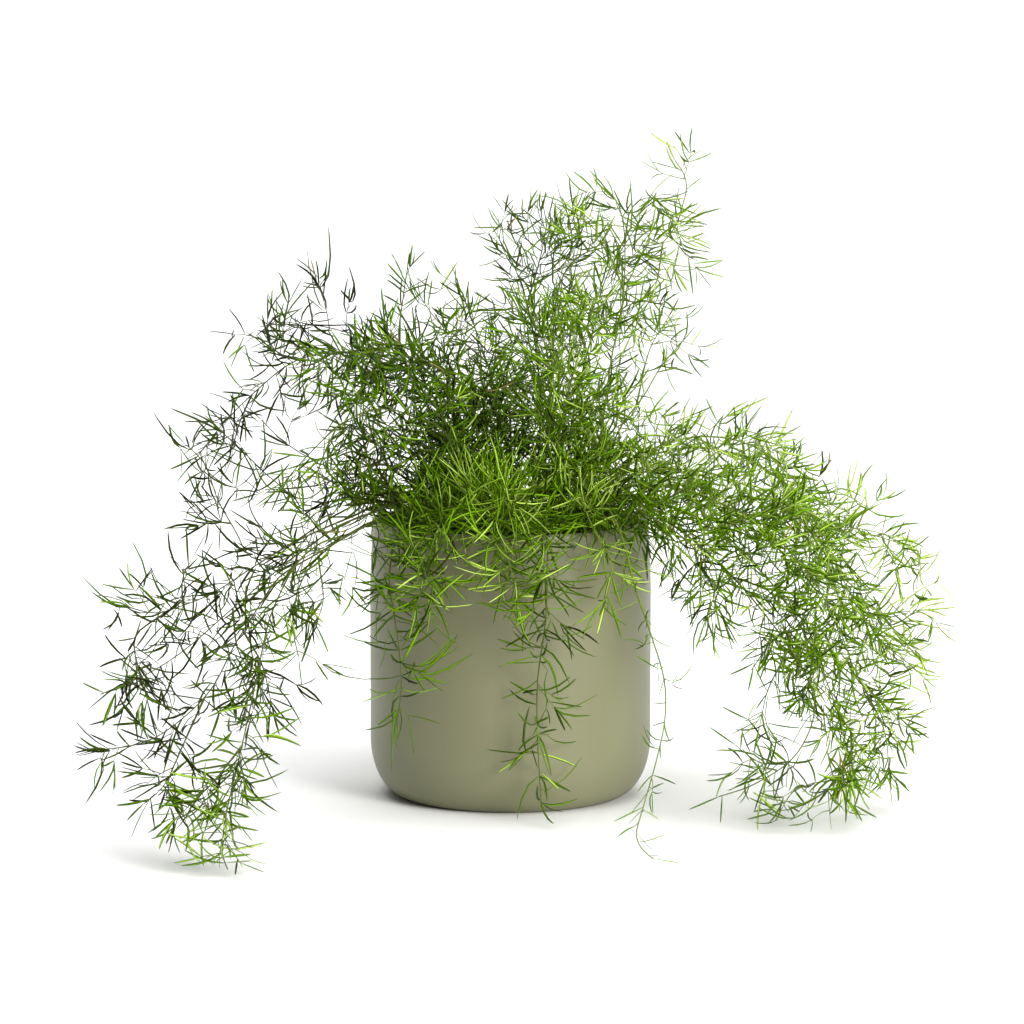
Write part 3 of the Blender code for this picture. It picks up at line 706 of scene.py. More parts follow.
@dataclass
class Soil:
    """The soil: a filled, uneven body under a layer of loose crumbs. Sizes in millimetres.

    Attributes:
        top: The height of its edge.
        dome: How much higher its middle is.
        radius: At the top.
        rough: The height of its lumps.
        columns: Vertices round its body.
        rings: Rings of its top.
        middle: The radius of the smallest ring of its top.
        under: The radius and height of each ring below its edge.
        crumbs: How many loose crumbs lie on it.
        crumb_size: Half their usual width.
        crumb_stretch: How far each corner stands out, as a share of that.
        seed: Of its random draws.
    """

    top: float = 133.0
    dome: float = 2.5
    radius: float = 69.4
    rough: float = 1.3
    columns: int = 120
    rings: int = 46
    middle: float = 0.6
    under: tuple[tuple[float, float], ...] = (
        (0.5, 6.4), (30.0, 6.4), (52.0, 7.5), (66.0, 20.0), (69.0, 60.0)
    )
    crumbs: int = 900
    crumb_size: Spread = Spread(0.7, 1.6)
    crumb_stretch: Spread = Spread(0.6, 0.6)
    seed: int = 71

    @staticmethod
    def level(x: Array | float, y: Array | float) -> Array | float:
        """The even surface, highest in the middle: h = top + dome (1 - r r / R R)."""
        return Soil.top + Soil.dome * (1 - (x * x + y * y) / Pot.radius**2)

    def height(self, x: Array, y: Array) -> Array:
        """The surface: the even one, with crossed waves for its lumps, less the lumps' own height.

        Args:
            x: Places across.
            y: Places along.

        Returns:
            The heights there.
        """
        lumps = np.sin(0.31 * x + 1.3 * np.sin(0.17 * y))
        lumps = lumps * np.sin(0.27 * y + 0.9 * np.sin(0.21 * x))
        lumps = lumps + 0.5 * np.sin(0.83 * x + 0.5) * np.sin(0.77 * y + 2.0)
        return self.level(x, y) + self.rough * (lumps / 1.5 - 1)

    def build_body(self, earth: bpy.types.Material) -> bpy.types.Object:
        """A disc of rings whose heights follow the surface, closed under by a plain wall and floor.

        Args:
            earth: The soil's finish.

        Returns:
            The soil.
        """
        under = np.array(self.under)
        radii = np.concatenate([under[:, 0], np.linspace(self.radius, self.middle, self.rings)])
        rings = lathe_rings(np.stack([radii, radii], 1), self.columns)
        rings[..., 2] = self.height(rings[..., 0], rings[..., 1])
        rings[: len(under), :, 2] = under[:, 1:]
        crown = float(self.height(np.array(0.0), np.array(0.0)))
        points = np.vstack([rings.reshape(-1, 3), (0, 0, under[0, 1]), (0, 0, crown)])
        surface = Surface().add(points, closed_faces(len(radii), self.columns))
        piece = surface.make("soil_body", [earth])
        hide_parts("soil")
        return piece

    def build_crumbs(self, crumb: bpy.types.Material) -> bpy.types.Object:
        """Loose crumbs: eight-sided lumps, each stretched and turned by its own draw, half sunk.

        Args:
            crumb: Their finish.

        Returns:
            The crumbs, as one piece.
        """
        rng = np.random.default_rng(self.seed)
        reach = (self.radius - 3) * np.sqrt(rng.random(self.crumbs))
        angle = rng.random(self.crumbs) * math.tau
        size = self.crumb_size.at(rng.random(self.crumbs) ** 3)
        x, y = reach * np.cos(angle), reach * np.sin(angle)
        corners = [(1, 0, 0), (0, 1, 0), (-1, 0, 0), (0, -1, 0), (0, 0, 1), (0, 0, -1)]
        stretch = self.crumb_stretch.at(rng.random((self.crumbs, len(corners), 1)))
        shape = np.array(corners, float)[None] * stretch * size[:, None, None]
        turn = rng.random(self.crumbs) * math.tau
        cos, sin = np.cos(turn)[:, None], np.sin(turn)[:, None]
        placed = np.stack(
            [
                shape[..., 0] * cos - shape[..., 1] * sin + x[:, None],
                shape[..., 0] * sin + shape[..., 1] * cos + y[:, None],
                shape[..., 2] * 0.7 + self.height(x, y)[:, None] + 0.1 * size[:, None],
            ],
            -1,
        ).reshape(-1, 3)
        sides = [(k, (k + 1) % 4, 4) for k in range(4)] + [((k + 1) % 4, k, 5) for k in range(4)]
        faces = repeat_faces(np.array(sides), self.crumbs, len(corners))
        piece = Surface().add(placed, faces).make("soil_crumbs", [crumb], smooth=False)
        return piece


# How the stems grow

# Half widths of the solids' stems, branches, twigs and needles, and the least air between them.
STEM_RADIUS = 1.5
BRANCH_RADIUS = 1.1
TWIG_RADIUS = 0.85
NEEDLE_RADIUS = 0.5
CLEARANCE = 0.35
# The least air between them and the pot, and between them and the surface.
POT_AIR = 1.0
FLOOR_AIR = 0.4
# The least air between what the eye sees and the model's box.
BOX_AIR = 0.1
# The flat sides of a solid stem, from which things grow.
SIDES = 4
# The places on a new piece at which its distance from the pot is measured.
PIECE_SAMPLES = 7


@dataclass
class Run:
    """One unbranched length of a leafy stem, in millimetres.

    Attributes:
        owner: The number of its stem.
        points: The corners of its middle line.
        radius: Of its solid.
        curve: The smooth line that its corners follow.
        tip: The point of the needle that ends it, if it has one.
    """

    owner: int
    points: Array
    radius: float
    curve: Array = field(default_factory=lambda: np.zeros((0, 3)))
    tip: Array | None = None

    @property
    def is_branch(self) -> bool:
        """Whether it grows from a stem, and not from the soil."""
        return self.radius < STEM_RADIUS

    @property
    def length(self) -> float:
        """The length along its corners."""
        return float(arc_lengths(self.points)[-1])

    def seat(self, distance: float, side: int) -> Seat:
        """A place on it for something to grow from.

        Args:
            distance: How far along it the place is.
            side: Which of the flat sides of its solid.

        Returns:
            The middle there, the way along and the way out through that side.
        """
        along = arc_lengths(self.points)
        distance = min(max(distance, 0.0), along[-1] - 1e-6)
        index = int(np.searchsorted(along, distance, side="right")) - 1
        share = (distance - along[index]) / (along[index + 1] - along[index])
        foot = self.points[index] * (1 - share) + self.points[index + 1] * share
        axis = unit(self.points[index + 1] - self.points[index])
        edges = carried_frames(self.points)
        edge = edges[index] * (1 - share) + edges[index + 1] * share
        edge = unit(edge - axis * (edge @ axis))
        return foot, axis, turned(edge, axis, math.tau * (side + 0.5) / SIDES)


def carried_frames(points: Array) -> Array:
    """A direction square to a chain at each point, carried along it without twisting.

    Args:
        points: The chain, (n, 3).

    Returns:
        Unit vectors, (n, 3).
    """
    axes = unit(np.gradient(points, axis=0))
    across = level_across(axes[:1])[0]
    edges = []
    for axis in axes:
        across = unit(across - axis * (across @ axis))
        edges.append(across)
    return np.array(edges)


def straightened(points: Array, kept: float) -> Array:
    """The chain with only the points that keep it near its shape.

    Args:
        points: The chain, (n, 3).
        kept: How far the new chain may lie from the old one.

    Returns:
        The new chain.
    """
    away = np.linalg.norm(np.cross(points - points[0], unit(points[-1] - points[0])), axis=1)
    far = int(np.argmax(away))
    if away[far] < kept or len(points) < 3:
        return np.array([points[0], points[-1]])
    return np.vstack([straightened(points[: far + 1], kept)[:-1], straightened(points[far:], kept)])


class Thicket:
    """The straight pieces placed so far: the start, end, radius and owner of each."""

    def __init__(self) -> None:
        """Start with nothing placed."""
        self.pieces = np.zeros((0, 8))

    def add(self, start: Array, end: Array, radius: float, owner: int) -> None:
        """Place a piece."""
        self.pieces = np.vstack([self.pieces, [*start, *end, radius, owner]])

    def offer(self, start: Array, end: Array, radius: float, owner: int) -> bool:
        """Place a piece, if it is clear of other stems' pieces, the pot, the soil and the surface.

        Args:
            start: Where it starts.
            end: Where it ends.
            radius: How thick it is.
            owner: Its stem.

        Returns:
            Whether it was clear.
        """
        samples = start + (end - start) * np.linspace(0, 1, PIECE_SAMPLES)[:, None]
        out = np.hypot(samples[:, 0], samples[:, 1])
        height = samples[:, 2]
        at_pot = out < Pot.radius + radius + POT_AIR
        at_pot &= height < Pot.height + radius + POT_AIR
        inside = out < Pot.lip_radius - Pot.wall - radius - POT_AIR
        inside &= height > Soil.top + Soil.dome + radius
        if (at_pot & ~inside).any() or height.min() < radius + FLOOR_AIR:
            return False
        others = self.pieces[self.pieces[:, 7] != owner]
        distance = nearest_approach(start, end, others[:, :3], others[:, 3:6])
        if not (distance > others[:, 6] + radius + CLEARANCE).all():
            return False
        self.add(start, end, radius, owner)
        return True


def nearest_approach(start: Array, end: Array, starts: Array, ends: Array) -> Array:
    """The least distance from one straight piece to each of many.

    Args:
        start: Where the one starts.
        end: Where it ends.
        starts: Where the others start, (n, 3).
        ends: Where they end, (n, 3).

    Returns:
        The distances, (n,).
    """
    along = end - start
    others = ends - starts
    apart = start - starts
    own = along @ along
    theirs = (others * others).sum(axis=1)
    both = others @ along
    lean = apart @ along
    reach = (others * apart).sum(axis=1)
    spread = np.maximum(own * theirs - both**2, 1e-9)
    here = np.clip((both * reach - lean * theirs) / spread, 0, 1)
    there = np.clip((both * here + reach) / theirs, 0, 1)
    here = np.clip((both * there - lean) / own, 0, 1)
    return np.linalg.norm(apart + here[:, None] * along - there[:, None] * others, axis=1)


def nearest_side(index: int) -> int:
    """The flat side nearest to a golden angle further round than the last one's."""
    return int(index * GOLDEN_ANGLE / math.tau * SIDES + 0.5) % SIDES


@dataclass
class Growth:
    """The rule by which the stems, twigs and needles of the solids stand clear of each other.

    Attributes:
        root_spacing: Between neighbouring roots.
        root_reach: The roots' greatest distance from the middle.
        root_depth: How deep a stem stands in the soil.
        root_pull: A root's distance from the middle over that of the place where its stem leaves
            the pot.
        root_rim: The least distance between that and root_reach.
        step: Between samples of a stem's curve.
        apart: The least distance between two stems' middles.
        rounds: How often stems are bent apart and branches joined to them again.
        pushes: How often they are bent in one round, at most.
        straightness: How far a solid's corners may leave the curve between them.
        ground: How far above the soil the first two points of a stem's curve lie.
        twig_lean: The angle between a main twig and its stem, in degrees.
        twig_reach: Its length as a share of its stem's usual one.
        twig_taper: How much shorter it is at the stem's tip.
        twigless_foot: How much of a branch has none.
        twigless_end: How much of a stem or branch has none next to its tip.
        needle: The usual length of a needle.
        needle_reach: Its length as a share of that.
        tip_reach: The same for a needle at a tip.
        lean: The usual angle between a needle and its twig.
        lean_spread: How much that differs.
        gap: Between the solids' needles along a twig.
        stem_gap: The same along a stem or branch, as a multiple of that.
        bare_branch: How much of a branch has no needles.
        bare_twig: How much of a twig has none.
        leafy_end: How much of a stem, next to its tip, has some.
        seed: Of its random draws.
        bends: The turns, in degrees, by which a shoot looks for free air.
        tip_leans: The leans, in radians, by which a needle at a tip does.
        thicket: What stands already.
    """

    root_spacing: float = 9.0
    root_reach: float = 50.0
    root_depth: float = 22.0
    root_pull: float = 0.8
    root_rim: float = 4.0
    step: float = 8.0
    apart: float = 6.5
    rounds: int = 3
    pushes: int = 30
    straightness: float = 1.6
    ground: tuple[float, float] = (1.0, 9.0)
    twig_lean: Spread = Spread(46, 22)
    twig_reach: Spread = Spread(0.75, 0.5)
    twig_taper: float = 0.3
    twigless_foot: float = 6.0
    twigless_end: float = 4.0
    needle: float = 16.5
    needle_reach: Spread = Spread(0.8, 0.35)
    tip_reach: Spread = Spread(0.75, 0.3)
    lean: float = math.radians(56.0)
    lean_spread: float = 0.35
    gap: float = 12.5
    stem_gap: float = 1.2
    bare_branch: float = 4.0
    bare_twig: float = 3.0
    leafy_end: float = 40.0
    seed: int = 5213
    bends: tuple[float, ...] = (0, 30, -30, 60, -60, 90, -90)
    tip_leans: tuple[float, ...] = (0, 0.3, -0.3, 0.6, -0.6)
    thicket: Thicket = field(default_factory=Thicket)

    def __post_init__(self) -> None:
        """Start the random draws."""
        self.rng = np.random.default_rng(self.seed)

    def grow(self, stems: list["LeafyStem"]) -> None:
        """Lay out every stem's runs, twigs and first needles, and give them to the stems.

        Args:
            stems: The stems, whose runs, twigs and needles are filled.
        """
        roots = self.choose_roots(stems)
        runs = self.lay_out(stems, roots)
        for _ in range(self.rounds):
            self.bend_apart(runs)
            self.join_branches(runs)
        for run in runs:
            run.curve = run.points
            run.points = straightened(run.points, self.straightness)
            for start, end in zip(run.points, run.points[1:]):
                self.thicket.add(start, end, run.radius, run.owner)
        for run in runs:
            if not run.is_branch:
                x, y = roots[run.owner]
                foot = [(x, y, float(Soil.level(x, y)) - self.root_depth)]
                run.points = np.vstack([foot, run.points])
                run.curve = np.vstack([foot, run.curve])
        twigs = [self.grow_twigs(stems[run.owner], run) for run in runs]
        for run in [*runs, *(twig for own in twigs for twig in own)]:
            self.end_in_needle(run)
        for run, own in zip(runs, twigs):
            stem = stems[run.owner]
            below = max(stem.bare, run.length - self.leafy_end)
            bare = self.bare_branch if run.is_branch else below
            stem.needles += self.grow_needles(run, bare, self.gap * self.stem_gap, 0)
            for first, twig in enumerate(own):
                stem.needles += self.grow_needles(twig, self.bare_twig, self.gap, first)
            stem.runs.append(run)
            stem.twigs += own

    def choose_roots(self, stems: list["LeafyStem"]) -> list[tuple[float, float]]:
        """Give each stem the free place on a triangular grid nearest to where it leaves the pot.

        Args:
            stems: The stems, in order.

        Returns:
            A place for each, across and along.
        """
        reach = int(self.root_reach / self.root_spacing) + 2
        grid = [
            (self.root_spacing * (i + 0.5 * (j % 2)), self.root_spacing * j * math.sqrt(0.75))
            for i in range(-reach, reach + 1)
            for j in range(-reach, reach + 1)
        ]
        free = [spot for spot in grid if math.hypot(*spot) < self.root_reach]
        roots = []
        for stem in stems:
            aim = np.array(stem.route[0][:2], float)
            limit = (self.root_reach - self.root_rim) / np.linalg.norm(aim)
            aim *= min(self.root_pull, limit)
            roots.append(min(free, key=lambda spot: math.dist(spot, aim)))
            free.remove(roots[-1])
        return roots

    def lay_out(self, stems: list["LeafyStem"], roots: list[tuple[float, float]]) -> list[Run]:
        """The smooth curves of every stem and branch.

        Args:
            stems: The stems.
            roots: Where each leaves the soil.

        Returns:
            Each stem's own run, followed by those of its branches.
        """
        runs = []
        for owner, (stem, (x, y)) in enumerate(zip(stems, roots)):
            level = float(Soil.level(x, y))
            trunk = [*((x, y, level + rise) for rise in self.ground), *stem.route]
            for route in (trunk, *stem.branches):
                radius = STEM_RADIUS if route is trunk else BRANCH_RADIUS
                runs.append(Run(owner, smooth_curve(np.array(route, float), self.step), radius))
        return runs

    def bend_apart(self, runs: list[Run]) -> None:
        """Bend stems that pass too near each other until their middles are far enough apart.

        Each sample is pushed straight away from a stranger's sample by half of what is lacking, and
        the pushes are smoothed along the run: (before + 2 here + after) / 3. Feet stay in place.

        Args:
            runs: The runs, whose points are changed.
        """
        places = np.vstack([run.points for run in runs])
        counts = [len(run.points) for run in runs]
        owners = np.repeat([run.owner for run in runs], counts)
        ends = np.cumsum(counts)
        strangers = owners[:, None] != owners[None, :]
        for _ in range(self.pushes):
            offset = places[:, None, :] - places[None, :, :]
            distance = np.sqrt((offset**2).sum(axis=2)) + 1e-9
            lack = np.where(strangers & (distance < self.apart), self.apart - distance, 0)
            if not lack.any():
                break
            push = (offset * (lack / distance)[:, :, None]).sum(axis=1) * 0.5
            for start, end, run in zip(ends - counts, ends, runs):
                part = push[start:end]
                padded = np.vstack([part[:1], part, part[-1:]])
                part = (padded[:-2] + 2 * part + padded[2:]) / 3
                part[: 1 if run.is_branch else 2] = 0
                places[start:end] += part
        for start, end, run in zip(ends - counts, ends, runs):
            run.points = places[start:end]

    def join_branches(self, runs: list[Run]) -> None:
        """Move each branch's foot onto its stem, and ease the move out along it as a square.

        Args:
            runs: The runs, each stem's before its branches'.
        """
        trunk = runs[0]
        for run in runs:
            if not run.is_branch:
                trunk = run
                continue
            away = np.linalg.norm(trunk.points - run.points[0], axis=1)
            ease = np.linspace(1, 0, len(run.points))[:, None] ** 2
            run.points = run.points + (trunk.points[np.argmin(away)] - run.points[0]) * ease

    def try_shoot(
        self, seat: Seat, lean: float, sink: float, length: float, radius: float, owner: int
    ) -> Array | None:
        """The end of a straight shoot that leans out from its seat, bent round until it is clear.

        Args:
            seat: Its foot, the way along its parent and the way out.
            lean: Its angle from its parent.
            sink: The share of its length that it sinks by.
            length: Its length.
            radius: Its thickness.
            owner: Its stem.

        Returns:
            The end, or None where others are in its way.
        """
        foot, axis, out = seat
        for bend in self.bends:
            side = turned(out, axis, math.radians(bend))
            heading = math.cos(lean) * axis + math.sin(lean) * side
            heading[2] -= sink
            end = foot + unit(heading) * length
            if self.thicket.offer(foot, end, radius, owner):
                return end
        return None

    def grow_twigs(self, stem: "LeafyStem", run: Run) -> list[Run]:
        """Main twigs along a run, from where its bare part ends, each a golden angle further round.

        Args:
            stem: The stem that the run belongs to.
            run: The run.

        Returns:
            The twigs.
        """
        bare = self.twigless_foot if run.is_branch else stem.bare
        count = int((run.length - bare - self.twigless_end) / stem.twig_gap + 0.5)
        twigs = []
        for index in range(max(0, count)):
            draw = self.rng.random(3)
            along = bare + stem.twig_gap * (index + 0.3 + 0.4 * draw[0])
            reach = stem.twig_length * self.twig_reach.at(draw[1])
            reach *= 1 - self.twig_taper * along / run.length
            seat = run.seat(along, nearest_side(index))
            lean = math.radians(self.twig_lean.at(draw[2]))
            end = self.try_shoot(seat, lean, stem.habit.value, reach, TWIG_RADIUS, run.owner)
            if end is not None:
                twigs.append(Run(run.owner, np.array([seat[0], end]), TWIG_RADIUS))
        return twigs

    def end_in_needle(self, run: Run) -> None:
        """Let a run end in a needle that carries its line on, or leans a little if others are near.

        Args:
            run: The run, whose tip is set.
        """
        foot, axis, out = run.seat(run.length, 0)
        length = self.needle * self.tip_reach.at(self.rng.random())
        for lean in self.tip_leans:
            tip = foot + length * (math.cos(lean) * axis + math.sin(lean) * out)
            if self.thicket.offer(foot, tip, NEEDLE_RADIUS, run.owner):
                run.tip = tip
                return

    def grow_needles(
        self, run: Run, bare: float, gap: float, first: int
    ) -> list[tuple[Array, Array]]:
        """Single needles round a run, each on the next side, the last one near its tip.

        Args:
            run: The run.
            bare: How much of it has none.
            gap: Between them.
            first: The number of the first one's side.

        Returns:
            The foot and the point of each.
        """
        count = max(1, int((run.length - bare) / gap + 0.5))
        needles = []
        for index in range(count):
            draw = self.rng.random(3)
            along = run.length - 1.5 - gap * (count - 1 - index + 0.25 * draw[0])
            seat = run.seat(along, nearest_side(first + index))
            lean = self.lean + self.lean_spread * (draw[1] - 0.6)
            length = self.needle * self.needle_reach.at(draw[2])
            end = self.try_shoot(seat, lean, 0.0, length, NEEDLE_RADIUS, run.owner)
            if end is not None:
                needles.append((seat[0], end))
        return needles


# What the eye sees of a stem


@dataclass(frozen=True)
class BladeRule:
    """How a needle is shaped and carried. Lengths in millimetres, angles in degrees.

    Attributes:
        places: Where its rings and ends lie, from its foot at 0 to its point at 1.
        widths: The rings' share of its half width.
        sides: Its sides.
        flat: Its thickness as a share of its width.
        girth: Its half width as a share of its stem's usual one.
        reach: Its length as a share of the usual one.
        lean: Its angle from its twig.
        tuft_lean: The same at a twig's tip.
        curl: How far it curls forwards, as a share of its length.
        side_curl: How far it curls to any side.
        rise: How far it curls up, and how much more with its stem's lift.
        single_reach: The length of a single needle as a share of the way to its point.
        single_curl: How far that one curls to any side.
    """

    places: tuple[float, ...] = (0.0, 0.07, 0.36, 0.66, 0.90, 1.0)
    widths: tuple[float, ...] = (0.58, 0.98, 1.0, 0.66)
    sides: int = 3
    flat: float = 0.5
    girth: Spread = Spread(0.75, 0.38)
    reach: Spread = Spread(0.65, 0.45)
    lean: Spread = Spread(58, 42)
    tuft_lean: Spread = Spread(8, 50)
    curl: Spread = Spread(-0.12, 1.05)
    side_curl: float = 0.40
    rise: Spread = Spread(0.20, 0.6)
    single_reach: float = 0.985
    single_curl: float = 0.03


@dataclass(frozen=True)
class StemRule:
    """How a stem or a branch is shaped, and where things grow on it. Lengths in millimetres.

    Attributes:
        step: Between its rings.
        sides: Its sides.
        girth: Its half width as a share of the solid's, which grows from its tip.
        power: The power of the way from its tip by which it grows.
        foot_end: How far its foot's pole stands out.
        tip_end: How far its tip's pole does.
        twig_gap: The usual one between its fine twigs.
        cluster_gap: The usual one between its own clusters.
        jitter: How much these differ.
        samples: How many places its fullness is summed up at.
        twigless_branch: How much of a branch's foot has no fine twigs.
        bare_branch: How much of it has no clusters of its own.
        bare_share: The share of a stem's leafy part that has none either.
    """

    step: float = 4.0
    sides: int = 6
    girth: Spread = Spread(0.20, 0.36)
    power: float = 1.5
    foot_end: float = 0.3
    tip_end: float = 0.6
    twig_gap: float = 11.0
    cluster_gap: float = 8.0
    jitter: float = 0.8
    samples: int = 60
    twigless_branch: float = 4.0
    bare_branch: float = 5.0
    bare_share: float = 0.2


@dataclass(frozen=True)
class TwigRule:
    """How a fine twig is shaped, carried and forked. Lengths in millimetres, angles in degrees.

    Attributes:
        places: Where its rings and ends lie.
        thick: The half widths of its first and last rings.
        sides: Its sides.
        lean: Its angle from its stem.
        stray: How far round it strays, in radians.
        reach: Its length as a share of its stem's usual one.
        taper: How much shorter it is at the stem's tip.
        shortest: The least length.
        aside: How far it bends aside, as a share of its length.
        hump: How far it humps up if its stem carries its twigs level.
        sag: How the hump varies.
        newer: How much newer than its stem it looks.
        newest: How new it looks at most.
        fork_from: The least length of a twig that forks.
        fork_chance: The chance where its stem's fullness is 1.
        fork_place: Where the fork grows from.
        fork_lean: Its angle from the twig.
        fork_reach: Its length as a share of the twig's.
        cluster_gap: Between its clusters.
        jitter: How much that differs.
        bare: How much of its foot has none.
    """

    places: tuple[float, ...] = (-0.01, 0.02, 0.34, 0.67, 0.99, 1.02)
    thick: tuple[float, float] = (0.28, 0.15)
    sides: int = 4
    lean: Spread = Spread(38, 42)
    stray: float = 1.2
    reach: Spread = Spread(0.4, 0.75)
    taper: float = 0.4
    shortest: float = 3.0
    aside: float = 0.13
    hump: float = 0.12
    sag: Spread = Spread(0.4, 0.8)
    newer: float = 0.15
    newest: float = 0.9
    fork_from: float = 12.0
    fork_chance: float = 0.7
    fork_place: Spread = Spread(0.25, 0.45)
    fork_lean: Spread = Spread(40, 30)
    fork_reach: Spread = Spread(0.45, 0.3)
    cluster_gap: float = 6.6
    jitter: float = 0.35
    bare: float = 2.0


@dataclass(frozen=True)
class ClusterRule:
    """How needles stand together, and how their shades differ.

    Attributes:
        more: The chances of a second, a third and a fourth needle.
        spread: How far round the twig they stand, in radians.
        stray: How far each one strays from there.
        reach: The usual length of its needles from a twig's foot to its tip.
        first: The least share of the way along a twig to one.
        turn: How far round the first one may stand.
        tone: How much shades differ between clusters.
        own_tone: How much they differ between needles.
        new_and_glint_chance: The chance of a paler needle, partly a new one and partly a painted
            glint.
        new_and_glint_tone: How much paler it is.
        dry_chance: The chance of a dry one.
        palest: The palest shade of a live one.
        tip_start: How new a stem's very tip is, where 1 is the most that shows.
        tip_fade: The distance over which that falls by 1.
    """

    more: tuple[float, float, float] = (0.84, 0.46, 0.14)
    spread: float = math.radians(200)
    stray: float = 0.9
    reach: Spread = Spread(1.04, -0.18)
    first: float = 0.05
    turn: float = 6.0
    tone: float = 0.15
    own_tone: float = 0.11
    new_and_glint_chance: float = 0.12
    new_and_glint_tone: float = 0.30
    dry_chance: float = 0.002
    palest: float = 0.95
    tip_start: float = 1.3
    tip_fade: float = 60.0


BLADE = BladeRule()
STEM = StemRule()
TWIG = TwigRule()
CLUSTER = ClusterRule()


def spindles(
    lines: Array, radii: Array, across: Array, sides: int, flat: float = 1.0
) -> tuple[Array, Whole, Array]:
    """Closed round or flat bodies along many lines, pointed at both ends.

    Round each inner point of a line lie some vertices, P + r (cos a u + flat sin a (t x u)), where
    t is the line's direction and u the way across it. The line's ends are the poles.

    Args:
        lines: The lines, all of one length, (n, k + 2, 3).
        radii: The half width at each inner point, (n, k).
        across: The way across at each inner point, (n, k, 3), or (n, 1, 3) if it is the same.
        sides: Vertices round each inner point.
        flat: The thickness as a share of the width.

    Returns:
        Vertices, triangles, and each vertex's place along its own line from 0 to 1.
    """
    count, rows = lines.shape[0], lines.shape[1] - 2
    axes = unit(lines[:, 2:] - lines[:, :-2])
    edge = unit(across - axes * (across * axes).sum(-1, keepdims=True))
    other = np.cross(axes, edge)
    angles = (np.arange(sides) * math.tau / sides)[:, None]
    ring = np.cos(angles) * edge[:, :, None] + flat * np.sin(angles) * other[:, :, None]
    rings = lines[:, 1:-1, None] + radii[:, :, None, None] * ring
    body = rings.reshape(count, rows * sides, 3)
    points = np.concatenate([body, lines[:, :1], lines[:, -1:]], axis=1)
    faces = repeat_faces(closed_faces(rows, sides), count, rows * sides + 2)
    along = np.concatenate([np.repeat(np.linspace(0, 1, rows + 2)[1:-1], sides), [0.0, 1.0]])
    return points.reshape(-1, 3), faces, np.tile(along, count)


def keeps_out(points: Array, margin: float) -> Truth:
    """Whether points are in free air: off pot, soil and surface, and in the model's box.

    Args:
        points: Any array of points, in millimetres.
        margin: How far they have to keep off.

    Returns:
        True for each point that is.
    """
    out = np.hypot(points[..., 0], points[..., 1])
    height = points[..., 2]
    at_pot = (out < Pot.radius + margin) & (height < Pot.height + margin)
    inside = (out < Pot.lip_radius - Pot.wall - margin) & (height > Soil.top + Soil.dome)
    low, high = (np.array(corner) / MM for corner in CAD_BOX)
    boxed = ((points >= low + BOX_AIR) & (points <= high - BOX_AIR)).all(axis=-1)
    return (~at_pot | inside) & boxed & (height > margin)


@dataclass
class Needles:
    """Needles under construction: the foot, way, length, bend and tone of each.

    Attributes:
        width: The usual half width of a blade in millimetres.
        rows: Lists of arrays, joined when they are built.
    """

    width: float
    rows: list[tuple[Array, Array, Array, Array, Array]] = field(default_factory=list)

    def add(self, feet: Array, ways: Array, lengths: Array, bends: Array, tones: Array) -> None:
        """Add needles; a bend is how far and which way a tip goes, as a share of the length."""
        self.rows.append((feet, ways, lengths, bends, tones))

    def build(self, surface: Surface, rng: np.random.Generator) -> int:
        """Three-sided blades, narrow at the foot, even in width most of the way, and pointed.

        A blade's middle line is Q(v) = foot + l (v d + v v b), with d its direction and b its bend.
        Blades that would leave the free air are left out.

        Args:
            surface: Where they go.
            rng: Where the draws for their widths and rolls come from.

        Returns:
            How many there are.
        """
        feet, ways, lengths, bends, tones = (np.concatenate(row) for row in zip(*self.rows))
        share = np.array(BLADE.places)[None, :, None]
        bends = bends - ways * (bends * ways).sum(-1, keepdims=True)
        steps = share * ways[:, None] + share**2 * bends[:, None]
        lines = feet[:, None] + lengths[:, None, None] * steps
        roll = rng.random(len(feet)) * math.tau
        size = self.width * BLADE.girth.at(rng.random(len(feet)))
        free = keeps_out(lines[:, 2:], 0.5).all(axis=1)
        across = turned(level_across(ways), ways, roll)[:, None]
        radii = size[:, None] * np.array(BLADE.widths)
        points, faces, along = spindles(
            lines[free], radii[free], across[free], BLADE.sides, BLADE.flat
        )
        corners = BLADE.sides * len(BLADE.widths) + 2
        surface.add(points, faces, 1, np.repeat(tones[free], corners), along)
        return int(free.sum())


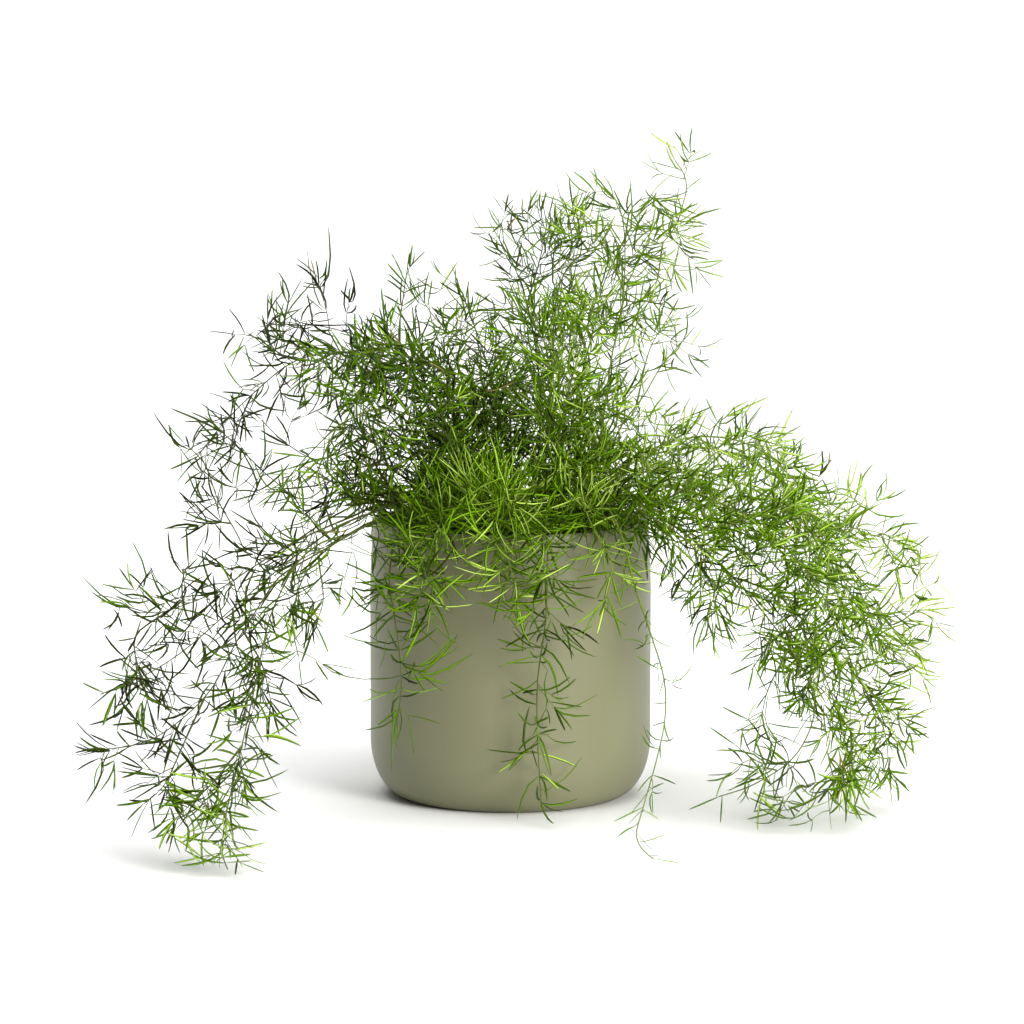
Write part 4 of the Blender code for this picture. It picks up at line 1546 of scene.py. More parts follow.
@dataclass
class Twigs:
    """Many bent twigs: each is P(u) = foot + l (u w + u u c), for u from 0 to 1.

    Attributes:
        feet: Where they start, (n, 3).
        ways: Their w, the way that they set out in, (n, 3).
        lengths: Their l, (n,).
        bends: Their c, (n, 3).
    """

    feet: Array
    ways: Array
    lengths: Array
    bends: Array

    @classmethod
    def spanning(
        cls, feet: Array, spans: Array, sink: float, rng: np.random.Generator
    ) -> tuple["Twigs", Whole]:
        """Twigs from feet over given spans, humped up against their weight and bent a bit sideways.

        Args:
            feet: Where they start, (n, 3).
            spans: From there to their ends, (n, 3).
            sink: The habit of their stem.
            rng: Where the draws come from.

        Returns:
            Those whose middles and ends are in free air, and which of the given ones they are.
        """
        lengths = np.linalg.norm(spans, axis=1)
        free = keeps_out(feet + spans, 1.0) & keeps_out(feet + spans * 0.5, 0.6)
        kept = np.flatnonzero(free & (lengths > TWIG.shortest))
        feet, spans, lengths = feet[kept], spans[kept], lengths[kept]
        bends = TWIG.aside * rng.normal(size=spans.shape).clip(-2, 2)
        bends[:, 2] -= (sink + TWIG.hump) * TWIG.sag.at(rng.random(len(feet)))
        return cls(feet, spans / lengths[:, None] - bends, lengths, bends), kept

    def parts(self) -> tuple[Array, Array, Array, Array]:
        """The four arrays, in order."""
        return self.feet, self.ways, self.lengths, self.bends

    def line(self, share: Array) -> Array:
        """Points on every twig at its own places.

        Args:
            share: The places u, (n, k).

        Returns:
            The points, (n, k, 3).
        """
        u = share[..., None]
        steps = u * self.ways[:, None] + u**2 * self.bends[:, None]
        return self.feet[:, None] + self.lengths[:, None, None] * steps

    def read(self, which: Whole, share: Array) -> tuple[Array, Array]:
        """One place on each of some twigs.

        Args:
            which: The twigs' numbers, (m,).
            share: The place on each, (m,).

        Returns:
            The points and the unit directions there, both (m, 3).
        """
        picked = Twigs(*(part[which] for part in self.parts()))
        slopes = picked.ways + 2 * share[:, None] * picked.bends
        return picked.line(share[:, None])[:, 0], unit(slopes)


@dataclass
class LeafyStem:
    """A leafy stem: its route from the soil, its side branches, how leafy and how old it is, and
    its painted shade.

    A route is a list of points, in millimetres, that the stem passes through above the soil. A
    branch's first point lies on the stem.

    Attributes:
        name: The node that it stands for.
        route: The stem's own route.
        branches: The routes of its branches.
        twig_gap: Between its main twigs.
        twig_length: The usual length of one.
        habit: How they are carried.
        bare: How much of the stem has none.
        age: Of its foliage: its age, with the painted light and shade that its tone also stands
            for.
        full: How closely its fine twigs stand at even places from foot to tip, where 1 is usual.
        blade: The usual length of its needles.
        broad: Their usual half width.
        new_tip: How much newer its needles are near its tip.
        lift: How much its fine twigs and needles turn up; more where a stem hangs.
        runs: The stem and its branches, once laid out.
        twigs: Its main twigs.
        needles: The foot and point of each of the solids' needles.
        surface: Its mesh, once it is being built.
        blades: Its needles.
        rng: Where its random draws come from.
    """

    name: str
    route: Route
    branches: list[Route] = field(default_factory=list)
    twig_gap: float = 46.0
    twig_length: float = 30.0
    habit: Habit = Habit.ARCHING
    bare: float = 20.0
    age: AgeAndShade = AgeAndShade.GROWN
    full: tuple[float, ...] = (1.0, 1.0)
    blade: float = 17.0
    broad: float = 0.7
    new_tip: float = 0.0
    lift: float = 0.0
    runs: list[Run] = field(default_factory=list)
    twigs: list[Run] = field(default_factory=list)
    needles: list[tuple[Array, Array]] = field(default_factory=list)
    surface: Surface = field(init=False)
    blades: Needles = field(init=False)
    rng: np.random.Generator = field(init=False)

    def build(self, seed: int, materials: list[bpy.types.Material]) -> bpy.types.Object:
        """Build the stem with its twigs and needles as one piece that stands for its node.

        Args:
            seed: Of its random draws.
            materials: The finishes of its stems and of its needles.

        Returns:
            The piece.
        """
        self.rng = np.random.default_rng([seed, 17])
        self.surface, self.blades = Surface(), Needles(self.broad)
        for run in self.runs:
            self.build_run(run)
            self.leaf_run(run)
        twigs = self.lay_twigs()
        self.build_twigs(twigs)
        self.leaf_twigs(twigs)
        tips = [(run.points[-1], run.tip) for run in [*self.runs, *self.twigs]]
        for singles in (self.needles, [pair for pair in tips if pair[1] is not None]):
            if singles:
                self.add_singles(np.array(singles))
        count = self.blades.build(self.surface, self.rng)
        piece = self.surface.make(self.name.replace("stem_", "fern_"), materials)
        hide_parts(self.name)
        LOG.info("%s: %d twigs, %d needles", self.name, len(twigs.feet), count)
        return piece

    def tones(self, shared: Whole) -> Array:
        """Shades round the stem's age and painted shade, alike within a cluster, with paler needles
        for new growth and painted glints, and a rare dry needle.

        Args:
            shared: The cluster that each needle belongs to, (n,).

        Returns:
            The shades, (n,).
        """
        cluster = CLUSTER.tone * self.rng.normal(size=int(shared.max()) + 1)
        own = CLUSTER.own_tone * self.rng.normal(size=len(shared))
        # Paler needles, partly new growth and partly painted glints.
        own = own + CLUSTER.new_and_glint_tone * (self.rng.random(len(shared)) < CLUSTER.new_and_glint_chance)
        shades = (self.age.value + cluster[shared] + own).clip(0.0, CLUSTER.palest)
        return np.where(self.rng.random(len(shared)) < CLUSTER.dry_chance, 1.0, shades)

    def stations(self, run: Run, bare: float, gap: float) -> tuple[Array, Array, Array]:
        """Places along a run, as close together as the stem is full there.

        They stand at equal steps of the running sum of its fullness.

        Args:
            run: The run.
            bare: How much of it is left free.
            gap: Between places where the fullness is 1.

        Returns:
            The distances along, the shares along and the fullness at each.
        """
        length = float(arc_lengths(run.curve)[-1])
        share = np.linspace(bare / length, 1.0, STEM.samples)
        total = np.concatenate([[0.0], np.cumsum(self.fullness(run, share[:-1]))])
        total *= (length - bare) / (STEM.samples - 1)
        count = max(2, int(total[-1] / gap))
        wanted = total[-1] - gap * (np.arange(count) + STEM.jitter * self.rng.random(count))
        places = np.interp(wanted, total, share)
        return places * length, places, self.fullness(run, places)

    def fullness(self, run: Run, share: Array) -> Array:
        """How full it is at places from 0 to 1; a branch is like the outer half of its stem."""
        places = 0.5 + 0.5 * share if run.is_branch else share
        return np.interp(places, np.linspace(0, 1, len(self.full)), self.full)

    def build_run(self, run: Run) -> None:
        """The round, slowly thinning body of a stem or branch.

        Args:
            run: The run.
        """
        line = smooth_curve(run.curve, STEM.step)
        thick = run.radius * STEM.girth.at(np.linspace(1, 0, len(line)) ** STEM.power)
        edges = carried_frames(line)
        foot = line[0] - STEM.foot_end * unit(line[1] - line[0])
        tip = line[-1] + STEM.tip_end * unit(line[-1] - line[-2])
        line = np.vstack([foot, line, tip])
        points, faces, along = spindles(line[None], thick[None], edges[None], STEM.sides)
        self.surface.add(points, faces, 0, self.age.value, along)

    def lay_twigs(self) -> Twigs:
        """The main twigs, fine ones between them along the runs, and shorter ones on all these.

        Returns:
            The twigs that are in free air.
        """
        mains = [(twig.points[0], twig.points[1] - twig.points[0]) for twig in self.twigs]
        mains = np.array(mains).reshape(-1, 2, 3)
        usual = np.full(len(mains), sum(self.full) / len(self.full))
        laid = [(mains[:, 0], mains[:, 1], usual)]
        for run in self.runs:
            bare = STEM.twigless_branch if run.is_branch else self.bare
            distance, share, full = self.stations(run, bare, STEM.twig_gap)
            feet, axes = read_curve(run.curve, distance)
            draws = self.rng.random((3, len(feet)))
            angle = np.arange(len(feet)) * GOLDEN_ANGLE + TWIG.stray * draws[0]
            out = turned(level_across(axes), axes, angle)
            reach = self.twig_length * TWIG.reach.at(draws[2]) * (1 - TWIG.taper * share)
            way = leaned(axes, out, np.radians(TWIG.lean.at(draws[1])))
            way = way + (0, 0, self.lift - self.habit.value)
            laid.append((feet, reach[:, None] * unit(way), full))
        feet, spans, full = (np.concatenate(rows) for rows in zip(*laid))
        sink = self.habit.value - self.lift
        first, kept = Twigs.spanning(feet, spans, sink, self.rng)
        forks = self.rng.random(len(kept)) < TWIG.fork_chance * full[kept]
        parent = np.flatnonzero((first.lengths > TWIG.fork_from) & forks)
        share = TWIG.fork_place.at(self.rng.random(len(parent)))
        feet, axes = first.read(parent, share)
        out = turned(level_across(axes), axes, self.rng.random(len(parent)) * math.tau)
        lean = np.radians(TWIG.fork_lean.at(self.rng.random(len(parent))))
        reach = first.lengths[parent] * TWIG.fork_reach.at(self.rng.random(len(parent)))
        spans = reach[:, None] * leaned(axes, out, lean)
        second, _ = Twigs.spanning(feet, spans, sink, self.rng)
        return Twigs(*(np.concatenate(pair) for pair in zip(first.parts(), second.parts())))

    def build_twigs(self, twigs: Twigs) -> None:
        """The twigs' thin round bodies.

        Args:
            twigs: The twigs.
        """
        count = len(twigs.feet)
        lines = twigs.line(np.tile(TWIG.places, (count, 1)))
        radii = np.tile(np.linspace(*TWIG.thick, len(TWIG.places) - 2), (count, 1))
        across = level_across(unit(twigs.ways))[:, None]
        points, faces, along = spindles(lines, radii, across, TWIG.sides)
        tone = min(self.age.value + TWIG.newer, TWIG.newest)
        self.surface.add(points, faces, 0, tone, along)

    def leaf_twigs(self, twigs: Twigs) -> None:
        """Clusters of needles at even stations along the twigs, and a tuft at each end.

        Args:
            twigs: The twigs.
        """
        counts = np.maximum(1, ((twigs.lengths - TWIG.bare) / TWIG.cluster_gap).astype(int))
        twig, index = numbered(counts)
        length = twigs.lengths[twig]
        along = length - TWIG.cluster_gap * (index + TWIG.jitter * self.rng.random(len(twig)))
        share = (along / length).clip(CLUSTER.first, 1.0)
        feet, axes = twigs.read(twig, share)
        angles = index * GOLDEN_ANGLE + CLUSTER.turn * self.rng.random(len(counts))[twig]
        self.add_clusters(feet, axes, angles, self.blade * CLUSTER.reach.at(share), index == 0)

    def leaf_run(self, run: Run) -> None:
        """Clusters of needles straight on a stem or branch, closer where it is fuller.

        Args:
            run: The run.
        """
        length = float(arc_lengths(run.curve)[-1])
        stalk = self.bare + STEM.bare_share * (length - self.bare)
        bare = STEM.bare_branch if run.is_branch else stalk
        distance, _, _ = self.stations(run, bare, STEM.cluster_gap)
        feet, axes = read_curve(run.curve, distance)
        index = np.arange(len(feet))
        size = np.full(len(feet), self.blade)
        self.add_clusters(feet, axes, index * GOLDEN_ANGLE, size, index == 0)

    def add_clusters(
        self, feet: Array, axes: Array, angles: Array, size: Array, ends: Truth
    ) -> None:
        """One to four needles from each place, nearly square to the twig, curving forwards and up.

        Those at a tip point forwards. Some curve the other way.

        Args:
            feet: Where the clusters grow from, (n, 3).
            axes: The way along the twig there, (n, 3).
            angles: The way round it of each cluster, (n,).
            size: The usual length of their needles, (n,).
            ends: Which ones are at a tip, (n,).
        """
        draw = self.rng.random(len(feet))
        counts = 1 + (draw[:, None] < CLUSTER.more).sum(axis=1)
        shared, rank = numbered(counts)
        spread = (rank / np.maximum(counts[shared] - 1, 1) - 0.5) * CLUSTER.spread
        draws = self.rng.random((4, len(shared)))
        angle = angles[shared] + spread + CLUSTER.stray * (draws[0] - 0.5)
        lean = np.where(ends[shared], BLADE.tuft_lean.at(draws[1]), BLADE.lean.at(draws[1]))
        axis = axes[shared]
        ways = leaned(axis, turned(level_across(axis), axis, angle), np.radians(lean))
        lengths = size[shared] * BLADE.reach.at(draws[2])
        bends = axis * BLADE.curl.at(draws[3])[:, None]
        bends = bends + BLADE.side_curl * self.rng.normal(size=axis.shape)
        bends[:, 2] += BLADE.rise.at(self.lift)
        away = np.linalg.norm(feet[shared] - self.runs[0].points[-1], axis=1)
        tones = self.tones(shared)
        newer = tones + self.new_tip * np.clip(CLUSTER.tip_start - away / CLUSTER.tip_fade, 0, 1)
        tones = np.where(tones < 1, newer.clip(0.0, CLUSTER.palest), tones)
        self.blades.add(feet[shared], ways, lengths, bends, tones)

    def add_singles(self, ends: Array) -> None:
        """Faintly bent needles between given feet and points.

        Args:
            ends: The foot and the point of each, (n, 2, 3).
        """
        span = (ends[:, 1] - ends[:, 0]) * BLADE.single_reach
        lengths = np.linalg.norm(span, axis=1)
        bends = BLADE.single_curl * self.rng.normal(size=span.shape)
        tones = self.tones(np.arange(len(span)))
        self.blades.add(ends[:, 0], span / lengths[:, None] - bends, lengths, bends, tones)


def numbered(counts: Whole) -> tuple[Whole, Whole]:
    """Each member's group, and its number within that, for groups of the given sizes in a row."""
    group = np.repeat(np.arange(len(counts)), counts)
    return group, np.arange(len(group)) - np.repeat(np.cumsum(counts) - counts, counts)


# The stems


STEMS: list[LeafyStem] = [
    # The tall crest, leaning to the right.
    LeafyStem(
        "stem_crest_top",
        [(20, 8, 189), (23, 12, 250), (27, 12, 274), (38, 10, 288), (58, 8, 293), (79, 5, 294),
         (88, 5, 305), (92, 5, 318), (93, 4, 328), (87, 2, 338)],
        [[(78, 5, 294), (76, -5, 273), (68, -10, 255), (63, -14, 246)],
         [(60, 7, 292), (60, -8, 276), (58, -14, 252)],
         [(42, 10, 290), (35, 16, 301), (33, 20, 314)],
         [(66, 6, 294), (74, 14, 301), (86, 18, 300), (96, 20, 295)]],
        twig_length=26.0, habit=Habit.LEVEL, bare=60.0, age=AgeAndShade.YOUNG,
        full=(2.3, 2.2, 2.1, 1.9, 0.8, 0.45, 0.35), broad=0.62,
    ),
    LeafyStem(
        "stem_crest_middle",
        [(47, -20, 192), (53, -22, 235), (59, -20, 266), (60, -15, 297), (57, -10, 315),
         (50, -8, 324)],
        [[(60, -15, 297), (63, -20, 314), (72, -22, 320), (82, -24, 317)],
         [(59, -19, 270), (48, -22, 298), (36, -24, 310)]],
        habit=Habit.LEVEL, age=AgeAndShade.YOUNG, full=(2.2, 2.2, 2.2, 1.8, 0.9, 1, 0.7), broad=0.62,
    ),
    LeafyStem(
        "stem_crest_left",
        [(16, 30, 209), (11, 38, 251), (3, 32, 278), (-6, 28, 295)],
        [[(9, 37, 258), (16, 30, 285), (20, 25, 306)]],
        habit=Habit.LEVEL, full=(2.6, 2.8, 2.6, 2.7, 3.0, 1.8, 0.9), broad=0.6,
    ),
    LeafyStem(
        "stem_crest_front",
        [(26, -40, 199), (33, -55, 232), (41, -55, 258), (47, -50, 276)],
        [[(31, -50, 222), (18, -60, 245), (9, -62, 264)]],
        habit=Habit.LEVEL, age=AgeAndShade.YOUNG, full=(2.8, 2.6, 2.4, 1.1), broad=0.66,
    ),
    LeafyStem(
        "stem_crest_side",
        [(55, -5, 190), (71, -8, 215), (79, -8, 229), (89, -8, 241)],
        [[(69, -8, 212), (74, 0, 238), (84, 6, 255)]],
        habit=Habit.LEVEL, age=AgeAndShade.YOUNG, full=(1.6, 1.4, 1.6, 1.4, 0.5, 0.3, 0.05), broad=0.6,
    ),
    # Thin upright shoots left of the crest.
    LeafyStem(
        "stem_sprig_tall",
        [(-33, 30, 192), (-54, 35, 222), (-60, 30, 241), (-58, 28, 261), (-56, 28, 275)],
        habit=Habit.UPRIGHT, twig_length=20.0, full=(1.8, 1.8, 1.6, 1.3, 1.1, 0.7, 1.3), broad=0.64,
    ),
    LeafyStem(
        "stem_sprig_middle",
        [(-8, 10, 210), (-15, 15, 237), (-22, 15, 257), (-26, 12, 268)],
        [[(-14, 14, 234), (-27, 18, 243), (-39, 20, 252), (-47, 22, 263)]],
        habit=Habit.UPRIGHT, twig_length=22.0, full=(2.1, 2, 1.9, 1.6, 1.3, 0.9, 0.9), broad=0.64,
    ),
    # The left shoulder and the long arches beyond it.
    # The OLD stems here are dark partly with age and partly as painted shade, away from the key
    # lamp.
    LeafyStem(
        "stem_shoulder_high",
        [(-21, -10, 212), (-42, -20, 232), (-66, -25, 239), (-87, -25, 239), (-104, -22, 230)],
        [[(-66, -25, 239), (-76, -35, 223), (-83, -40, 210)]],
        full=(2.6, 2.6, 2.7, 2.6, 3.4, 3.2, 2.2),
    ),
    LeafyStem(
        "stem_shoulder_low",
        [(-32, -30, 193), (-52, -50, 208), (-70, -58, 212), (-88, -60, 204), (-106, -58, 187),
         (-117, -56, 174)],
        [[(-70, -58, 212), (-75, -62, 191), (-83, -64, 173)],
         [(-93, -60, 201), (-100, -62, 181), (-103, -64, 163)]],
        full=(3.2, 3, 2, 1.2, 0.6, 0.15, 0.1),
    ),
    LeafyStem(
        "stem_shoulder_back",
        [(-30, 20, 183), (-60, 35, 192), (-82, 45, 185), (-104, 50, 174), (-123, 48, 184),
         (-135, 46, 196)],
        [[(-60, 35, 192), (-76, 38, 170), (-90, 36, 154)]],
        age=AgeAndShade.OLD, full=(3.4, 3.2, 2.0, 1.2, 0.2, 0.1, 0.1),
    ),
    LeafyStem(
        "stem_far_high",
        [(-28, 46, 200), (-58, 76, 229), (-89, 90, 240), (-114, 95, 244), (-131, 95, 237)],
        age=AgeAndShade.OLD, full=(1.6, 1.6, 1.3, 1.1, 1, 0.7, 0.25), blade=18.5,
    ),
    LeafyStem(
        "stem_far_left",
        [(-38, 45, 202), (-66, 65, 226), (-94, 78, 230), (-119, 82, 225), (-141, 82, 208),
         (-159, 80, 190), (-174, 76, 171)],
        [[(-119, 82, 225), (-129, 84, 229), (-134, 86, 238), (-134, 86, 248)],
         [(-141, 82, 208), (-149, 84, 192), (-154, 84, 176)]],
        age=AgeAndShade.OLD, full=(1.6, 1.6, 1.4, 1.5, 1.7, 1, 0.9), blade=18.5,
    ),
    LeafyStem(
        "stem_loop_low",
        [(-58, -20, 166), (-89, -40, 156), (-115, -55, 141), (-133, -60, 134), (-143, -62, 150),
         (-152, -60, 166), (-158, -58, 183), (-168, -55, 193)],
        [[(-115, -55, 141), (-129, -52, 151), (-136, -50, 164), (-129, -48, 179)],
         [(-143, -62, 150), (-156, -62, 155), (-163, -60, 161)]],
        twig_length=20.0, habit=Habit.LEVEL, age=AgeAndShade.OLD, full=(0.8, 0.2, 0.1, 0.1, 0.5),
        blade=19.0, broad=0.74,
    ),
    LeafyStem(
        "stem_loop_high",
        [(-59, 20, 172), (-89, 30, 170), (-111, 35, 154), (-130, 35, 166), (-143, 32, 179),
         (-155, 28, 191)],
        twig_length=20.0, habit=Habit.LEVEL, age=AgeAndShade.OLD, full=(0.7, 0.6, 0.25, 0.2, 0.35),
        blade=19.0, broad=0.74,
    ),
    # Stems that spill over the lip on the left and hang down to the surface in front.
    # The OLD stems here are dark partly with age and partly as painted shade, away from the key
    # lamp.
    LeafyStem(
        "stem_trail_upper",
        [(-58, -40, 163), (-83, -70, 157), (-107, -95, 149), (-129, -115, 138), (-148, -130, 127),
         (-162, -140, 122), (-177, -150, 119), (-192, -152, 123)],
        [[(-170, -145, 121), (-186, -158, 109), (-184, -162, 92), (-179, -166, 75)],
         [(-162, -140, 122), (-164, -138, 134), (-160, -136, 143)]],
        twig_length=22.0, age=AgeAndShade.OLD, full=(0.9, 0.3, 0.1, 0.25, 0.7, 2.2, 0.6), blade=19.5,
        broad=0.72,
    ),
    LeafyStem(
        "stem_trail_outer",
        [(-52, -50, 161), (-82, -88, 155), (-111, -118, 141), (-137, -145, 122), (-159, -160, 104),
         (-178, -168, 92), (-202, -174, 82)],
        [[(-137, -145, 122), (-135, -152, 101), (-123, -158, 81)]],
        twig_length=22.0, age=AgeAndShade.OLD, full=(0.9, 0.3, 0.1, 0.15, 0.5, 0.9, 0.9), blade=19.5,
        broad=0.74,
    ),
    LeafyStem(
        "stem_trail_middle",
        [(-47, -55, 160), (-82, -98, 152), (-113, -134, 136), (-134, -160, 109), (-148, -175, 84),
         (-167, -185, 67), (-182, -190, 60), (-197, -192, 58)],
        [[(-150, -176, 82), (-161, -190, 58), (-169, -196, 41), (-179, -199, 32)],
         [(-134, -158, 108), (-124, -152, 92), (-119, -150, 72)]],
        twig_length=22.0, age=AgeAndShade.OLD, full=(0.9, 0.5, 0.3, 0.35, 0.9, 1.3, 0.9), blade=19.5,
        broad=0.74,
    ),
    LeafyStem(
        "stem_trail_lower",
        [(-50, -45, 159), (-85, -92, 153), (-109, -126, 139), (-120, -148, 116), (-126, -171, 86),
         (-132, -190, 57), (-138, -205, 30), (-140, -213, 12), (-137, -220, 4)],
        [[(-132, -190, 57), (-145, -196, 42), (-154, -201, 34), (-163, -206, 26)]],
        twig_length=22.0, full=(0.9, 0.2, 0.15, 0.35, 1, 2.1, 2.7), blade=19.0, broad=0.74,
        new_tip=0.3,
    ),
    LeafyStem(
        "stem_trail_inner",
        [(-47, -40, 155), (-78, -70, 151), (-100, -88, 137), (-109, -98, 121), (-111, -102, 105),
         (-108, -104, 90)],
        [[(-100, -88, 137), (-96, -94, 117), (-101, -96, 102)]],
        twig_length=20.0, full=(1.1, 0.7, 0.4, 0.25, 0.15), lift=-0.3, blade=19.0,
    ),
    # Stems that hang in front of the pot.
    # The FRESH stems here are pale partly with new growth and partly as painted light from the key
    # lamp in front.
    LeafyStem(
        "stem_front_left",
        [(-42, -55, 158), (-57, -78, 150), (-62, -88, 130), (-60, -92, 112), (-57, -94, 92),
         (-56, -94, 71), (-58, -94, 57)],
        twig_gap=38.0, twig_length=14.0, full=(3.6, 3.2, 2.0, 1.0), lift=0.5, blade=21.0,
    ),
    LeafyStem(
        "stem_lip_left",
        [(-29, -60, 162), (-38, -84, 151), (-44, -94, 130), (-48, -98, 114)],
        twig_gap=25.0, twig_length=20.0, age=AgeAndShade.YOUNG, full=(4.4, 4.4, 3.2), lift=0.4, blade=23.0,
    ),
    LeafyStem(
        "stem_front_star",
        [(-3, -45, 153), (-4, -70, 164), (-3, -95, 172)],
        twig_gap=16.0, twig_length=22.0, age=AgeAndShade.FRESH, full=(2.8, 2.8), blade=27.0,
    ),
    LeafyStem(
        "stem_lip_middle",
        [(-8, -60, 160), (-5, -86, 151), (1, -96, 131), (4, -98, 116)],
        twig_gap=25.0, twig_length=20.0, age=AgeAndShade.FRESH, full=(4.4, 4.0, 2.6), lift=0.4, blade=23.0,
    ),
    LeafyStem(
        "stem_front_centre",
        [(10, -50, 159), (18, -80, 152), (19, -94, 138), (18, -96, 107), (14, -94, 76),
         (14, -91, 44), (16, -88, 9)],
        twig_gap=32.0, twig_length=15.0, full=(2.4, 3.0, 1.3, 0.5), lift=0.4, blade=20.0,
    ),
    LeafyStem(
        "stem_front_right",
        [(48, -50, 161), (57, -84, 149), (63, -108, 127), (71, -126, 104), (77, -142, 84),
         (77, -152, 65), (72, -164, 45), (66, -176, 27), (62, -188, 12), (70, -196, 4)],
        twig_gap=60.0, twig_length=12.0, age=AgeAndShade.YOUNG, full=(0.6, 0.6, 0.7, 0.7, 0.55, 0.4, 0.35),
        lift=0.3, blade=12.0, broad=0.45,
    ),
    LeafyStem(
        "stem_lip_right",
        [(34, -54, 166), (42, -84, 154), (52, -97, 136), (48, -102, 116)],
        twig_gap=26.0, twig_length=16.0, age=AgeAndShade.FRESH, full=(1.9, 1.2, 0.6), lift=0.5, blade=20.0,
    ),
    # The broad arch on the right, falling forwards to the surface.
    # The FRESH stems on top are pale partly as painted light; the YOUNG and GROWN ones beneath are
    # darker partly as painted shade inside the arch.
    LeafyStem(
        "stem_arch_top",
        [(58, 0, 174), (82, 5, 187), (107, 8, 191), (133, 8, 184), (158, 5, 162), (181, 0, 144),
         (205, -5, 136)],
        [[(81, 5, 186), (86, 8, 197), (96, 10, 202)],
         [(119, 8, 190), (128, 14, 194), (139, 16, 186)]],
        age=AgeAndShade.FRESH, full=(1.9, 1.4, 0.9, 1.2, 0.7, 0.6, 0.3),
    ),
    LeafyStem(
        "stem_arch_outer",
        [(61, -10, 170), (95, -18, 176), (131, -24, 165), (163, -28, 140), (181, -28, 108),
         (196, -26, 86), (214, -24, 71)],
        [[(163, -28, 140), (181, -30, 146), (199, -32, 143)],
         [(188, -28, 98), (205, -26, 101), (218, -24, 102)]],
        age=AgeAndShade.FRESH, full=(1.9, 1.4, 1.8, 2.9, 2.9, 1.9, 1),
    ),
    LeafyStem(
        "stem_arch_middle",
        [(58, -20, 166), (94, -38, 167), (125, -50, 153), (150, -58, 133), (169, -62, 102),
         (182, -62, 71), (204, -60, 50)],
        [[(169, -62, 102), (161, -68, 82), (150, -70, 62)],
         [(182, -62, 71), (195, -60, 44), (198, -58, 20)]],
        age=AgeAndShade.YOUNG, full=(1.9, 1.2, 1.4, 3.6, 3.9, 1.8, 0.5),
    ),
    LeafyStem(
        "stem_arch_inner",
        [(55, -30, 164), (88, -55, 159), (118, -72, 140), (141, -84, 116), (156, -92, 89),
         (168, -98, 59), (174, -102, 31), (177, -106, 9)],
        [[(173, -101, 38), (166, -106, 24), (150, -110, 14), (135, -112, 11)],
         [(167, -98, 61), (180, -98, 40), (192, -96, 27)]],
        age=AgeAndShade.YOUNG, full=(1.6, 0.7, 0.5, 2.3, 2.3, 0.25, 0.05),
    ),
    LeafyStem(
        "stem_arch_fall",
        [(52, -40, 164), (80, -66, 155), (105, -84, 137), (128, -96, 113), (148, -104, 85),
         (155, -108, 63), (145, -112, 40), (124, -116, 26), (106, -118, 20)],
        [[(145, -103, 92), (132, -106, 73), (127, -110, 55)],
         [(143, -112, 39), (127, -118, 38), (114, -120, 47)]],
        full=(1.7, 0.8, 0.7, 1.8, 0.8, 0.25, 0.2), blade=18.5, broad=0.66,
    ),
    LeafyStem(
        "stem_arch_under",
        [(49, -45, 163), (72, -78, 158), (92, -92, 146), (104, -100, 126), (99, -104, 108)],
        full=(1.8, 1.5, 2, 2, 1.2, 1.1, 0.9), lift=-0.3, blade=20.0, broad=0.74,
    ),
    LeafyStem(
        "stem_arch_back",
        [(59, 25, 171), (97, 45, 181), (134, 62, 171), (165, 75, 143), (188, 80, 109),
         (205, 80, 70)],
        [[(134, 62, 171), (150, 84, 158), (162, 98, 138)]],
        age=AgeAndShade.YOUNG, full=(1.5, 1.2, 0.7, 1.2, 1.4, 1.4, 1.4),
    ),
    # The back, as full as the front: an upright stem, two arches and three that hang over the lip.
    LeafyStem(
        "stem_back_crest",
        [(34, 40, 200), (44, 58, 240), (52, 66, 272), (66, 66, 296)],
        [[(44, 58, 240), (60, 72, 254), (78, 80, 262)]],
        habit=Habit.LEVEL, full=(2.2, 1.8, 1.5, 1.2, 0.5, 0.3, 0.2),
    ),
    LeafyStem(
        "stem_back_middle",
        [(0, 56, 190), (-4, 84, 214), (-10, 108, 216), (-14, 130, 200), (-16, 146, 172)],
        [[(-10, 108, 216), (8, 126, 210), (20, 140, 194)]],
        full=(2.5, 2.1, 1.4, 1.2),
    ),
    LeafyStem(
        "stem_back_arch_left",
        [(-46, 46, 170), (-62, 80, 179), (-82, 112, 168), (-104, 134, 140), (-118, 146, 106),
         (-124, 150, 74)],
        [[(-82, 112, 168), (-72, 132, 152), (-66, 144, 128)]],
        full=(1.6, 1.6, 1.6, 0.8, 0.1, 0.2, 0.4),
    ),
    LeafyStem(
        "stem_back_arch_right",
        [(36, 52, 172), (62, 88, 178), (84, 118, 164), (102, 138, 134), (112, 150, 98),
         (116, 154, 62)],
        [[(84, 118, 164), (104, 122, 154), (124, 122, 134)]],
        age=AgeAndShade.YOUNG, full=(1.6, 1.5, 1.3, 0.7, 0.5, 0.6, 0.5),
    ),
    LeafyStem(
        "stem_back_hang_left",
        [(-22, 56, 162), (-38, 86, 154), (-52, 94, 128), (-54, 98, 96), (-50, 100, 62)],
        twig_length=22.0, full=(1.6, 1.3, 1.0), lift=0.4,
    ),
    LeafyStem(
        "stem_back_hang_right",
        [(22, 60, 160), (30, 86, 151), (34, 98, 126), (34, 102, 92), (30, 102, 56), (30, 104, 26)],
        twig_length=22.0, age=AgeAndShade.YOUNG, full=(1.6, 1.3, 1.0), lift=0.4,
    ),
]


# The room


